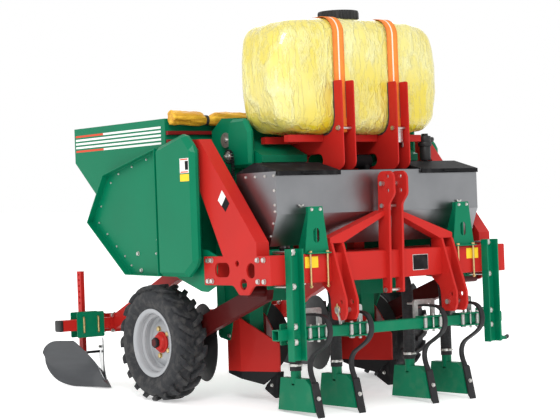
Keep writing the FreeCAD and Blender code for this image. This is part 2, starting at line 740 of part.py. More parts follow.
def make_fert_box():
    body = new_body("fert_box")
    add(body, "side", [plain(box_section())], "-box_half", "2 * box_half")
    for side in TINES:
        add(
            body, "top", [("circle", side, "meter_y", "neck_radius")],
            "box_bottom - outlet_length", "outlet_length + 1",
        )
    cut(
        body, "side", [inset(box_section(), "box_wall")], "-box_half + box_wall",
        "2 * (box_half - box_wall)",
    )
    for side in TINES:
        cut(
            body, "top", [("circle", side, "meter_y", "neck_radius - neck_wall")],
            "box_bottom - outlet_length - 1", "outlet_length + 10",
        )
    bore = ("circle", "meter_y", "meter_z", "meter_radius + meter_fit")
    for start in both_sides("box_half - box_wall", "box_wall"):
        cut(body, "side", [bore], start, "box_wall")
    finish(body)


def make_metering_shaft():
    """A shaft along the box's bottom with stirring paddles and a chain wheel."""
    body = new_body("metering_shaft")
    add(body, "side", [("circle", "0", "0", "meter_radius")], "-box_half - 9", "2 * box_half + 34")
    paddle = box_loop("-7", "7", "-46", "46", "6")
    for side in TINES:
        for step in ("-60", "60"):
            add(body, "side", [paddle], f"{side} + ({step}) - 4", "8")
    add(body, "side", [("circle", "0", "0", "48")], "box_half + 10", "8")
    finish(body, at=("0", "meter_y", "meter_z"))


def make_fert_roof():
    """The fixed part of the box's cover: its flat middle, rear panels and gables."""
    body = new_body("fert_roof")
    middle = box_loop("box_front", "box_rear", "box_top", "box_top + lid_wall")
    add(body, "side", [middle], "-lid_start + lid_wall", "2 * (lid_start - lid_wall)")
    ridge = "box_top + ridge_rise"
    panel = [
        ("box_rear", "box_top"), ("box_rear", "box_top + lid_wall"),
        ("ridge_y + hinge_space", f"{ridge} + lid_wall"), ("ridge_y + hinge_space", ridge),
    ]
    gable = [("box_front", "box_top"), ("box_rear", "box_top"), ("ridge_y", ridge)]
    width = "box_half - lid_start"
    for start in both_sides("lid_start", width):
        add(body, "side", [panel], start, width)
    for inner in ("lid_start - lid_wall", "box_half - lid_wall"):
        for start in both_sides(inner, "lid_wall"):
            add(body, "side", [gable], start, "lid_wall")
    finish(body)


def make_fert_lids():
    """Front flaps of the cover, hinged along the ridge, with a lip and a pull."""
    ridge = "box_top + ridge_rise"
    slope = f"({ridge} - box_top) / (ridge_y - box_front)"
    for side, name in (("", "fert_lid_right"), ("-", "fert_lid_left")):
        body = new_body(name)
        flap = [
            ("box_front - 12", f"box_top + lid_clear - 12 * {slope}"),
            ("box_front - 12", f"box_top + lid_clear + lid_wall - 12 * {slope}"),
            ("ridge_y - 2", f"{ridge} + lid_clear + lid_wall - 2 * {slope}"),
            ("ridge_y - 2", f"{ridge} + lid_clear - 2 * {slope}"),
        ]
        lip = box_loop("box_front - 14", "box_front - 11", "box_top - 24", "box_top")
        pull = box_loop("box_front - 30", "box_front - 14", "box_top - 14", "box_top - 9")
        wide = "box_half - lid_start - 2"
        start = "lid_start + 1" if not side else f"-(box_half) + 1"
        centre = f"{side}(box_half + lid_start) / 2"
        add(body, "side", [flap], start, wide)
        add(body, "side", [lip], start, wide)
        add(body, "side", [pull], f"{centre} - 60", "120")
        finish(body)


def make_fert_brackets():
    """Folded brackets that carry the box on the front beam, each with a foot plate."""
    body = new_body("fert_brackets")
    for side in ("", "-"):
        centre = f"{side}bracket_half"
        web = [
            (f"{centre} - bracket_foot / 2", "beam_top + foot_plate"),
            (f"{centre} + bracket_foot / 2", "beam_top + foot_plate"),
            (f"{centre} + bracket_head / 2", "bracket_top"),
            (f"{centre} - bracket_head / 2", "bracket_top"),
        ]
        window = box_loop(f"{centre} - 22", f"{centre} + 22", "beam_top + 60", "beam_top + 140", "21")
        add(body, "front", [web, window], "2", "bracket_wall")
        flange = [
            ("2", "beam_top + foot_plate"), ("box_floor_front", "beam_top + foot_plate"),
            ("box_floor_front", "box_bottom"), ("box_front", "box_knee"),
            ("box_front", "bracket_top"), ("2", "bracket_top"),
        ]
        add(body, "side", [flange], f"{centre} - bracket_wall / 2", "bracket_wall")
        foot = box_loop(f"{centre} - bracket_foot / 2", f"{centre} + bracket_foot / 2", "-24", "130", "5")
        rods = [("circle", f"{centre} + ({x})", "-12", "6.5") for x in ("-60", "60")]
        add(body, "top", [foot] + rods, "beam_top", "foot_plate")
    finish(body)


# ---------------------------------------------------------------- tank
def tank_body(name, grow, corner_grow):
    """A rounded tank volume, grown or shrunk by a rule."""
    body = new_body(name)
    plan = box_loop(
        f"-tank_half - ({grow})", f"tank_half + ({grow})", f"tank_y - tank_reach - ({grow})",
        f"tank_y + tank_reach + ({grow})", f"tank_corner + ({corner_grow})",
    )
    block = add(body, "top", [plan], f"tank_bottom - ({grow})", f"tank_top - tank_bottom + 2 * ({grow})")
    doc.recompute()
    ends = (amount(f"tank_bottom - ({grow})"), amount(f"tank_top + ({grow})"))
    rims = [
        f"Edge{i}" for i, edge in enumerate(block.Shape.Edges, start=1)
        if any(abs(edge.BoundBox.ZMin - z) < 0.01 and abs(edge.BoundBox.ZMax - z) < 0.01 for z in ends)
    ]
    fillet = body.newObject("PartDesign::Fillet", f"{name}_edges")
    fillet.Base = (block, rims)
    fillet.setExpression("Radius", bound(f"tank_edge + ({grow})"))
    body.Tip = fillet
    return body


def make_tank():
    """A moulded tank with a filler neck: the outer volume less the inner one."""
    outer = tank_body("tank_outer", "0", "0")
    add(
        outer, "top", [("circle", "0", "tank_y", "tank_neck")], "tank_top - 2",
        "tank_neck_height + 2",
    )
    inner = tank_body("tank_inner", "-tank_wall", "-tank_wall")
    add(
        inner, "top", [("circle", "0", "tank_y", "tank_neck - tank_wall")], "tank_top - 20",
        "tank_neck_height + 40",
    )
    tank = doc.addObject("Part::Cut", "tank")
    tank.Base = outer
    tank.Tool = inner
    tank.Label = "tank"
    finish(tank)


def make_tank_lid():
    body = new_body("tank_lid")
    base = "tank_top + 2"
    add(body, "top", [("circle", "0", "0", "cap_radius")], base, "cap_height")
    roof = "tank_top + tank_neck_height + cap_fit"
    cut(body, "top", [("circle", "0", "0", "tank_neck + cap_fit")], f"{base} - 1", f"{roof} - ({base}) + 1")
    rib = box_loop("-6", "6", "cap_radius - 4", "cap_radius + 3", "2")
    bump = add(body, "top", [rib], base, "cap_height - 6")
    repeat_round(body, bump, "12", "Z_Axis")
    finish(body, at=("0", "tank_y", "0"))


def make_tank_straps():
    """Webbing over the tank, with its ends held at the cradle's cross bolts."""
    body = new_body("tank_straps")
    near = "tank_y - tank_reach - strap_clear"
    far = "tank_y + tank_reach + strap_clear"
    top = "tank_top + strap_clear"
    bend = "tank_edge + strap_clear"
    band = [
        (f"{near} - strap_thick", "strap_end"),
        (f"{near} - strap_thick", f"{top} + strap_thick", f"{bend} + strap_thick"),
        (f"{far} + strap_thick", f"{top} + strap_thick", f"{bend} + strap_thick"),
        (f"{far} + strap_thick", "strap_end"), (far, "strap_end"), (far, top, bend),
        (near, top, bend), (near, "strap_end"),
    ]
    for start in both_sides("strap_half - strap_width / 2", "strap_width"):
        add(body, "side", [band], start, "strap_width")
    finish(body)


# ---------------------------------------------------------------- tank cradle
def cradle_outline():
    near = "tank_y - tank_reach - cradle_clear"
    far = "tank_y + tank_reach + cradle_clear"
    seat = "tank_bottom - cradle_clear"
    bend = "tank_edge + cradle_clear"
    rear = "2 * tank_y - cradle_front"
    base = "box_top + lid_wall"
    rail = "tank_bottom - cradle_clear - rail_height"
    return [
        ("cradle_front", base, "cradle_corner"), (rear, base, "cradle_corner"),
        (rear, "cradle_upright", "12"), (far, "cradle_upright", "12"), (far, seat, bend),
        ("rail_rear + rail_width", seat), ("rail_rear + rail_width", rail), ("rail_rear", rail),
        ("rail_rear", seat), ("rail_front + rail_width", seat), ("rail_front + rail_width", rail),
        ("rail_front", rail), ("rail_front", seat), (near, seat, bend),
        (near, "cradle_upright", "12"), ("cradle_front", "cradle_upright", "12"),
    ]


def make_cradle_plates():
    body = new_body("cradle_plates")
    base = "box_top + lid_wall"
    windows = [
        box_loop("292", "547", f"{base} + 25", f"{base} + 101", "37"),
        ("circle", "cradle_front + 34", "strap_end - 10", "bolt_hole"),
        ("circle", "2 * tank_y - cradle_front - 34", "strap_end - 10", "bolt_hole"),
    ]
    for middle in ("cradle_inner", "cradle_outer"):
        for start in both_sides(f"{middle} - cradle_plate / 2", "cradle_plate"):
            add(body, "side", [cradle_outline()] + windows, start, "cradle_plate")
    finish(body)


def make_cradle_frame():
    """Cross rails under the tank, and the posts that stand on the rear beam behind them."""
    body = new_body("cradle_frame")
    top = "tank_bottom - cradle_clear"
    low = "cradle_inner + cradle_plate / 2"
    high = "cradle_outer - cradle_plate / 2"
    for front in ("rail_front", "rail_rear"):
        rail = box_loop(front, f"{front} + rail_width", f"{top} - rail_height", top)
        add(body, "side", [rail], "-rail_half", "2 * rail_half")
    for side in ("", "-"):
        post = box_loop(f"{side}({low})", f"{side}({high})", "post_front", "post_front + post_depth")
        add(body, "top", [post], "beam_top", f"{top} - rail_height / 2 - beam_top")
        hollow = box_loop(
            f"{side}({low} + 5)", f"{side}({high} - 5)", "post_front + 5", "post_front + post_depth - 5"
        )
        cut(body, "top", [hollow], "beam_top", f"{top} - rail_height - beam_top - 10")
    finish(body)


def make_pump():
    """A diaphragm pump on two feet on the box's flat middle, between the cradle plates."""
    body = new_body("pump")
    base = "box_top + lid_wall"
    half = "pump_length / 2"
    axis = f"{base} + pump_radius + 14"
    add(body, "side", [("circle", "pump_y", axis, "pump_radius")], f"-{half}", "pump_length")
    for start in (f"-{half} + 20", f"{half} - 50"):
        add(body, "side", [box_loop("pump_y - 34", "pump_y + 34", base, axis)], start, "30")
    add(body, "top", [("circle", "0", "pump_y", "24")], axis, "pump_radius + 26")
    finish(body)


# ---------------------------------------------------------------- seed elevators
def casing_outline():
    return [
        ("frame_depth", "casing_bottom", "1", "1"), ("frame_depth", "nose_low - 32", "1", "1"),
        ("nose_y", "nose_low", "1", "1"), ("nose_y", "nose_high", "1", "-0.5"),
        ("tank_y + tank_reach + 8", "tank_bottom - 5", "1", "-0.5"),
        ("tank_y + tank_reach + 8", "casing_top - 6", "1", "-1"), ("798", "casing_top", "0", "-1"),
        ("casing_rear", "casing_top - 70", "-1", "-0.5"), ("casing_rear", "casing_bottom", "-1", "1"),
    ]


def make_elevators():
    """Casings that house the cup belts, each with a chute down into its furrow opener."""
    body = new_body("elevator_casings")
    for side in ("", "-"):
        centre = f"{side}row_half"
        add(body, "side", [plain(casing_outline())], f"{centre} - casing_half", "2 * casing_half")
        chute = box_loop(
            f"{centre} - chute_half", f"{centre} + chute_half", "chute_front", "chute_rear"
        )
        add(body, "top", [chute], "chute_bottom", "casing_bottom - chute_bottom + 1")
        cut(
            body, "side", [inset(casing_outline(), "casing_wall")],
            f"{centre} - casing_half + casing_wall", "2 * (casing_half - casing_wall)",
        )
        duct = box_loop(
            f"{centre} - chute_half + casing_wall", f"{centre} + chute_half - casing_wall",
            "chute_front + casing_wall", "chute_rear - casing_wall",
        )
        cut(body, "top", [duct], "chute_bottom - 1", "casing_bottom - chute_bottom + 10")
        bore = ("circle", "head_y", "head_z", "head_radius + head_fit")
        cut(body, "side", [bore], f"{centre} - casing_half - 1", "2 * casing_half + 2")
    finish(body)


def make_elevator_shaft():
    """The drive shaft through both casings, with a belt pulley in each and a chain wheel."""
    body = new_body("elevator_shaft")
    reach = "row_half + casing_half"
    add(body, "side", [("circle", "0", "0", "head_radius")], f"-({reach}) - 30", f"2 * ({reach}) + 60")
    pulley = ("circle", "0", "0", "belt_radius - belt_thick - 0.5")
    for side in ("", "-"):
        add(body, "side", [pulley], f"{side}row_half - belt_width / 2 - 4", "belt_width + 8")
    for start in both_sides(f"{reach} + 12", "8"):
        add(body, "side", [("circle", "0", "0", "44")], start, "8")
    finish(body, at=("0", "head_y", "head_z"))


def make_cup_belts():
    """Endless belts with seed cups, one in each casing, at rest round their pulleys."""
    top = FreeCAD.Vector(0, amount("head_y"), amount("head_z"))
    foot = FreeCAD.Vector(0, amount("foot_y"), amount("foot_z"))
    along = (foot - top).normalize()
    across = FreeCAD.Vector(1, 0, 0)
    aside = along.cross(across)
    outer = amount("belt_radius")
    inner = outer - amount("belt_thick")
    width = amount("belt_width")

    def loop(size):
        """The stadium that one face of the belt follows."""
        edges = [
            Part.LineSegment(top + aside * size, foot + aside * size).toShape(),
            Part.Arc(foot + aside * size, foot + along * size, foot - aside * size).toShape(),
            Part.LineSegment(foot - aside * size, top - aside * size).toShape(),
            Part.Arc(top - aside * size, top - along * size, top + aside * size).toShape(),
        ]
        return Part.Wire(edges)

    belts = []
    for side in ("row_half", "-row_half"):
        start = across * (amount(side) - width / 2)
        band = Part.Face(loop(outer)).cut(Part.Face(loop(inner)))
        belt = band.extrude(across * width)
        pitch = 110
        for i in range(int((foot - top).Length // pitch)):
            for face in (1, -1):
                spot = top + along * (pitch * (i + 0.5)) + aside * (face * outer)
                reach = amount("cup_reach")
                cup = rectangle(
                    spot + aside * (face * reach / 2), aside, along, reach + 2, amount("cup_height")
                ).extrude(across * (width - 16))
                cup.translate(across * 8)
                belt = belt.fuse(cup)
        belt.translate(start)
        belts.append(belt.removeSplitter())
    keep_shape("cup_belts", Part.makeCompound(belts))


# ---------------------------------------------------------------- seed hopper
def make_seed_hopper():
    """An open sheet hopper with three cross rails on its front wall."""
    body = new_body("seed_hopper")
    corners = [
        ("hopper_front", "hopper_top", "1", "1"), ("hopper_front", "hopper_floor", "1", "1"),
        ("hopper_floor_end", "hopper_floor", "-0.5", "1"), ("hopper_rear", "hopper_back", "-1", "0.5"),
        ("hopper_rear", "hopper_top", "-1", "1"),
    ]
    add(body, "side", [plain(corners)], "-hopper_half", "2 * hopper_half")
    cut(
        body, "side", [inset(corners, "hopper_wall")], "-hopper_half + hopper_wall",
        "2 * (hopper_half - hopper_wall)",
    )
    for drop in ("95", "145", "195"):
        rail = box_loop(
            "hopper_front - 24", "hopper_front + 1", f"hopper_top - {drop}", f"hopper_top - {drop} + 22", "5"
        )
        add(body, "side", [rail], "-hopper_half + 6", "2 * (hopper_half - 6)")
    finish(body)


def make_tarp_roll():
    """The hopper's cover, rolled up along its front edge."""
    body = new_body("tarp_roll")
    roll = ("circle", "hopper_front - roll_radius - 0.3", "roll_z", "roll_radius")
    add(body, "side", [roll], "-hopper_half", "2 * hopper_half")
    finish(body)


def make_side_covers():
    body = new_body("side_covers")
    corners = [
        ("688", "1544", "0", "-1"), ("cover_front", "1449", "1", "-0.5"), ("cover_front", "797", "1", "0.5"),
        ("703", "723", "0.5", "1"), ("1344", "736", "-0.5", "1"), ("1761", "1055", "-1", "0"),
        ("1560", "1339", "-0.5", "-1"),
    ]
    depth = "cover_outer - hopper_half"
    for start, hollow in (("hopper_half", "hopper_half"), ("-cover_outer", "-cover_outer + cover_wall")):
        add(body, "side", [plain(corners)], start, depth)
        cut(body, "side", [inset(corners, "cover_wall")], hollow, f"{depth} - cover_wall")
    finish(body)


# ---------------------------------------------------------------- wheels
def make_wheel(side):
    """One wheel: the tyre's beads sit outside the rim's barrel and between its flanges."""
    sign = "" if side == "right" else "-"
    at = (f"{sign}wheel_half", "wheel_y", "tyre_radius")
    tyre = new_body(f"tyre_{side}")
    half = "tyre_width / 2"
    crown = "tyre_radius - lug_height"
    section = [
        (f"-{half} + 24", "rim_radius"), (f"{half} - 24", "rim_radius"),
        (f"{half} - 24", "rim_flange + 3"), (half, "rim_flange + 34", "24"),
        (half, f"{crown} - 26", "24"), (f"{half} - 24", crown, "20"), (f"-{half} + 24", crown, "20"),
        (f"-{half}", f"{crown} - 26", "24"), (f"-{half}", "rim_flange + 34", "24"),
        (f"-{half} + 24", "rim_flange + 3"),
    ]
    spin(tyre, [section])
    for shape in (
        [("2", "-16"), (f"{half} - 4", "24"), (f"{half} - 4", "52"), ("2", "16")],
        [("-2", "14"), (f"-{half} + 4", "54"), (f"-{half} + 4", "82"), ("-2", "46")],
    ):
        lug = add(tyre, "top", [shape], f"{crown} - 8", "lug_height")
        repeat_round(tyre, lug, "lug_count")
    finish(tyre, at)

    rim = new_body(f"rim_{side}")
    barrel = [
        (f"-{half} + 16", "rim_radius - rim_wall"), (f"{half} - 16", "rim_radius - rim_wall"),
        (f"{half} - 16", "rim_flange"), (f"{half} - 21", "rim_flange"),
        (f"{half} - 21", "rim_radius - 0.3"), (f"-{half} + 21", "rim_radius - 0.3"),
        (f"-{half} + 21", "rim_flange"), (f"-{half} + 16", "rim_flange"),
    ]
    face = f"{sign}(tyre_width / 2 - 62)"
    disc = [
        (f"{face} - rim_wall", "hub_radius - 5"), (f"{face} + rim_wall", "hub_radius - 5"),
        (f"{face} + rim_wall", "rim_radius - rim_wall / 2"),
        (f"{face} - rim_wall", "rim_radius - rim_wall / 2"),
    ]
    hub = [
        (f"{sign}-58", "axle_radius + axle_fit"), (f"{sign}70", "axle_radius + axle_fit"),
        (f"{sign}70", "hub_radius"), (f"{sign}-58", "hub_radius"),
    ]
    spin(rim, [barrel])
    spin(rim, [disc])
    spin(rim, [hub])
    finish(rim, at)


def make_wheel_arms():
    """Trailing arms from the side plates' tongues to the stub axles."""
    body = new_body("wheel_arms")
    arm = [
        ("arm_pivot_y - 50", "arm_pivot_z - 10", "30"), ("arm_pivot_y + 30", "arm_pivot_z + 0", "30"),
        ("wheel_y + 45", "tyre_radius + 52", "30"), ("wheel_y + 45", "tyre_radius - 42", "30"),
        ("wheel_y - 30", "tyre_radius - 42", "30"), ("arm_pivot_y - 30", "arm_pivot_z - 95", "30"),
    ]
    for side in ("", "-"):
        inner = "arm_inner" if not side else "-arm_inner - arm_wide"
        add(body, "side", [arm], inner, "arm_wide")
        outer_face = "arm_inner + arm_wide"
        pivot = "half_width - plate_wall"
        tube_start = f"{outer_face} - 2" if not side else f"-({pivot})"
        tube = [("circle", "arm_pivot_y", "arm_pivot_z - 44", "30")]
        add(body, "side", tube, tube_start, f"{pivot} - ({outer_face}) + 2")
        axle_start = f"{outer_face} - 2" if not side else "-wheel_half - 66"
        add(
            body, "side", [("circle", "wheel_y", "tyre_radius", "axle_radius")], axle_start,
            f"wheel_half + 66 - ({outer_face}) + 2",
        )
    finish(body)


# ---------------------------------------------------------------- furrow openers
def make_openers():
    """Sheet openers, V-shaped in plan, that part the soil ahead of the seed chutes."""
    body = new_body("furrow_openers")
    for side in ("", "-"):
        centre = f"{side}row_half"
        plan = [
            (f"{centre} - opener_half", "opener_rear"), (f"{centre} - opener_half", "opener_flare"),
            (f"{centre} - 4", "opener_front"), (f"{centre} + 4", "opener_front"),
            (f"{centre} + opener_half", "opener_flare"), (f"{centre} + opener_half", "opener_rear"),
            (f"{centre} + opener_half - opener_wall", "opener_rear"),
            (f"{centre} + opener_half - opener_wall", "opener_flare"),
            (centre, "opener_front + 14"), (f"{centre} - opener_half + opener_wall", "opener_flare"),
            (f"{centre} - opener_half + opener_wall", "opener_rear"),
        ]
        add(body, "top", [plan], "80", "opener_top_rear - 80")
    above = [
        ("opener_front - 20", "opener_top_front - 12"), ("opener_rear + 10", "opener_top_rear + 6"),
        ("opener_rear + 10", "opener_top_rear + 60"), ("opener_front - 20", "opener_top_rear + 60"),
    ]
    below = [
        ("opener_front - 20", "60"), ("opener_front - 20", "share_top"), ("opener_front", "share_top"),
        ("640", "80"), ("opener_rear + 10", "142"), ("opener_rear + 10", "60"),
    ]
    cut(body, "side", [above, below], "-row_half - opener_half - 5", "2 * (row_half + opener_half + 5)")
    finish(body)


def make_opener_shares():
    body = new_body("opener_shares")
    shape = [
        ("opener_front - 8", "share_top"), ("opener_front", "share_top"), ("640", "80"),
        ("664", "52"), ("opener_front + 32", "share_tip"), ("opener_front + 12", "share_tip", "8"),
    ]
    for side in ("", "-"):
        add(body, "side", [shape], f"{side}row_half - share_width / 2", "share_width")
    finish(body)


def make_opener_hangers():
    """Plates that carry the openers under the casings."""
    body = new_body("opener_hangers")
    plate = [
        ("820", "casing_bottom"), ("casing_rear", "casing_bottom"), ("975", "470", "30"),
        ("985", "350", "30"), ("opener_rear - 35", "330", "20"), ("830", "470", "20"),
    ]
    for side in ("", "-"):
        for step in ("opener_half", "-opener_half - hanger_wall"):
            add(body, "side", [plate], f"{side}row_half + ({step})", "hanger_wall")
    finish(body)


# ---------------------------------------------------------------- covering discs
def make_disc(number, centre, outward):
    """A dished disc on its own spindle axis, hollow side towards the row."""
    body = new_body(f"covering_disc_{number}")
    bulge = f"{outward}disc_dish"
    wall = f"{outward}disc_wall"
    section = [
        (f"{bulge}", "spindle_radius + spindle_fit"), (f"{bulge} + ({wall})", "spindle_radius + spindle_fit"),
        (f"{bulge} + ({wall})", "60", "20"), (f"{wall}", "disc_radius - 3"), ("0", "disc_radius"),
        (f"{outward}0.6 * disc_dish", "disc_radius * 0.55", "150"), (f"{bulge}", "58", "20"),
    ]
    hub = [
        (f"{bulge} - ({outward}12)", "spindle_radius + spindle_fit"),
        (f"{bulge} + ({outward}24)", "spindle_radius + spindle_fit"),
        (f"{bulge} + ({outward}24)", "38"), (f"{bulge} - ({outward}12)", "38"),
    ]
    spin(body, [section])
    spin(body, [hub])
    body.Placement = FreeCAD.Placement(FreeCAD.Vector(), FreeCAD.Rotation(FreeCAD.Vector(0, 0, 1), 1))
    body.setExpression("Placement.Rotation.Angle", bound(f"{outward}disc_toe"))
    finish(body, at=(centre, "disc_y", "disc_z"))


DISCS = (("-disc_outer", "-"), ("-disc_inner", ""), ("disc_inner", "-"), ("disc_outer", ""))


def make_disc_arms():
    """Arms on the casings' sides, each ending in the spindle that a disc turns on."""
    toe = amount("disc_toe")
    thick = amount("disc_arm")
    centre_y = amount("disc_y")
    centre_z = amount("disc_z")
    top = amount("casing_bottom")
    arms = []
    for centre, outward in DISCS:
        way = -1 if outward == "-" else 1
        side = 1 if amount(centre) > 0 else -1
        wall = amount("row_half + casing_half") if abs(amount(centre)) > amount("row_half") else amount(
            "row_half - casing_half"
        )
        face = side * wall
        front, rear, head = centre_y - 185, centre_y - 105, top + 190
        outline_points = [
            (front, head), (rear, head), (rear, top - 20), (centre_y + 34, centre_z + 10),
            (centre_y + 20, centre_z - 30), (centre_y - 26, centre_z - 26), (front, top - 10),
        ]
        corners = [FreeCAD.Vector(face, y, z) for y, z in outline_points]
        arm = Part.Face(Part.makePolygon(corners + corners[:1])).extrude(FreeCAD.Vector(way * thick, 0, 0))
        axis = FreeCAD.Vector(way * math.cos(math.radians(toe)), math.sin(math.radians(toe)), 0)
        hub = FreeCAD.Vector(amount(centre), centre_y, centre_z)
        reach = abs(amount(centre) - face) + 2
        start = hub - axis * reach
        length = reach + amount("disc_dish") + 24
        spindle = Part.makeCylinder(amount("spindle_radius"), length, start, axis)
        arms.append(arm.fuse(spindle).removeSplitter())
    keep_shape("disc_arms", Part.makeCompound(arms))


# ---------------------------------------------------------------- rear bar and ridgers
def make_rear_bar():
    body = new_body("rear_bar")
    high = "rear_bar_front + rear_bar_size"
    top = "rear_bar_bottom + rear_bar_size"
    outer = box_loop("rear_bar_front", high, "rear_bar_bottom", top, "9")
    inner = box_loop(
        "rear_bar_front + rear_bar_wall", f"{high} - rear_bar_wall",
        "rear_bar_bottom + rear_bar_wall", f"{top} - rear_bar_wall",
    )
    add(body, "side", [outer, inner], "-rear_bar_half", "2 * rear_bar_half")
    finish(body)


def make_rear_arms():
    """Arms from the hopper's underside back to the rear bar, each with a clamp."""
    body = new_body("rear_arms")
    top = "rear_bar_bottom + rear_bar_size"
    rear = "rear_bar_front + rear_bar_size"
    shape = [
        ("rear_bar_front", "rear_bar_bottom - 14"), ("rear_bar_front", f"{top} + 14"),
        ("1235", "hopper_floor"), ("1060", "hopper_floor"), ("1060", "hopper_floor - 60", "20"),
        ("1190", "hopper_floor - 72", "40"),
    ]
    plate = box_loop("rear_arm_half - 50", "rear_arm_half + 50", "rear_bar_bottom - 22", f"{top} + 22", "8")
    other = box_loop("-rear_arm_half - 50", "-rear_arm_half + 50", "rear_bar_bottom - 22", f"{top} + 22", "8")
    for start in both_sides("rear_arm_half - rear_arm_wide / 2", "rear_arm_wide"):
        add(body, "side", [shape], start, "rear_arm_wide")
    for pad_shape in (plate, other):
        add(body, "front", [pad_shape], "rear_bar_front - 12", "12")
        add(body, "front", [pad_shape], rear, "12")
    finish(body)


def make_ridger_clamps():
    """Clamps on the rear bar, each with a sleeve that a ridger's post slides in."""
    body = new_body("ridger_clamps")
    rear = "rear_bar_front + rear_bar_size"
    top = "rear_bar_bottom + rear_bar_size"
    for side in ("", "-"):
        centre = f"{side}wheel_half"
        plate = box_loop(
            f"{centre} - clamp_half", f"{centre} + clamp_half", "rear_bar_bottom - 44", f"{top} + 44", "10"
        )
        add(body, "front", [plate], rear, "clamp_wall")
        add(body, "front", [plate], "rear_bar_front - clamp_wall - 3", "clamp_wall + 3")
        hole = box_loop(
            f"{centre} - post_width / 2 - post_fit", f"{centre} + post_width / 2 + post_fit",
            f"{rear} + clamp_wall", f"{rear} + clamp_wall + post_long + 2 * post_fit",
        )
        sleeve = box_loop(
            f"{centre} - post_width / 2 - 9", f"{centre} + post_width / 2 + 9",
            f"{rear} + 1", f"{rear} + clamp_wall + post_long + 10",
        )
        add(body, "top", [sleeve, hole], "rear_bar_bottom - 34", "rear_bar_size + 68")
    finish(body)


def make_ridger_post(side):
    body = new_body(f"ridger_post_{side}")
    centre = "wheel_half" if side == "right" else "-wheel_half"
    front = "rear_bar_front + rear_bar_size + clamp_wall + post_fit"
    section = box_loop(
        f"{centre} - post_width / 2", f"{centre} + post_width / 2", front, f"{front} + post_long"
    )
    add(body, "top", [section], "post_bottom", "post_top - post_bottom")
    middle = f"{front} + post_long / 2"
    holes = [("circle", middle, f"post_top - 20 - {i} * post_pitch", "post_hole") for i in range(6)]
    cut(body, "side", holes, f"{centre} - post_width / 2 - 1", "post_width + 2")
    finish(body)


def make_ridger_body(side):
    """Two ridging wings on a share, with a leg up to the post."""
    body = new_body(f"ridger_{side}")
    centre = "wheel_half" if side == "right" else "-wheel_half"
    plan = [
        (f"{centre} - wing_reach", "wing_end"), (f"{centre} - 6", "ridger_tip_y"),
        (f"{centre} + 6", "ridger_tip_y"), (f"{centre} + wing_reach", "wing_end"),
        (f"{centre} + wing_reach - wing_wall", "wing_end"), (centre, "ridger_tip_y + 16"),
        (f"{centre} - wing_reach + wing_wall", "wing_end"),
    ]
    add(body, "top", [plan], "ridger_tip_z", "wing_top - ridger_tip_z")
    leg = [
        ("1985", "post_bottom"), ("2045", "post_bottom"), ("2000", "130", "40"),
        ("1830", "ridger_tip_z + 14"), ("ridger_tip_y + 4", "ridger_tip_z + 14"), ("ridger_tip_y + 4", "110"),
        ("1850", "150", "60"),
    ]
    above = [
        ("ridger_tip_y - 20", "110"), ("1790", "250", "60"), ("1900", "wing_top - 5"),
        ("wing_end - 60", "wing_top - 12"), ("wing_end + 20", "wing_top - 60"),
        ("wing_end + 20", "wing_top + 40"), ("ridger_tip_y - 20", "wing_top + 40"),
    ]
    below = [
        ("ridger_tip_y + 60", "ridger_tip_z"), ("wing_end + 20", "wing_low + 8"),
        ("wing_end + 20", "ridger_tip_z - 20"), ("ridger_tip_y + 60", "ridger_tip_z - 20"),
    ]
    width = "2 * wing_reach + 20"
    cut(body, "side", [above, below], f"{centre} - wing_reach - 10", width)
    add(body, "side", [leg], f"{centre} - post_width / 2", "post_width")
    share = [
        (f"{centre} - 60", "1815"), (f"{centre} - 7", "ridger_tip_y - 4"),
        (f"{centre} + 7", "ridger_tip_y - 4"), (f"{centre} + 60", "1815"),
    ]
    add(body, "top", [share], "ridger_tip_z - 2", "14")
    finish(body)


# ---------------------------------------------------------------- fasteners
def hex_head(size, height):
    """A hexagon head that stands on the XY plane."""
    points = [
        FreeCAD.Vector(size * math.cos(math.radians(60 * i)), size * math.sin(math.radians(60 * i)), 0)
        for i in range(7)
    ]
    return Part.Face(Part.makePolygon(points)).extrude(FreeCAD.Vector(0, 0, height))


def bolt(radius, grip, reach):
    """A bolt along -Z with its head on the XY plane and a nut past its grip."""
    shank = Part.makeCylinder(radius, grip + reach, FreeCAD.Vector(0, 0, -grip - reach))
    washer = Part.makeCylinder(radius * 1.85, 2.5)
    head = hex_head(radius * 1.67, radius * 1.25)
    head.translate(FreeCAD.Vector(0, 0, 2.5))
    nut = hex_head(radius * 1.67, radius * 1.3)
    nut.translate(FreeCAD.Vector(0, 0, -grip - radius * 1.3))
    return shank.fuse([washer, head, nut]).removeSplitter()


def placed(shape, spot, way):
    """A copy of a shape drawn along +Z, turned to a way and moved to a spot."""
    copy = shape.copy()
    copy.Placement = FreeCAD.Placement(spot, FreeCAD.Rotation(FreeCAD.Vector(0, 0, 1), way))
    return copy


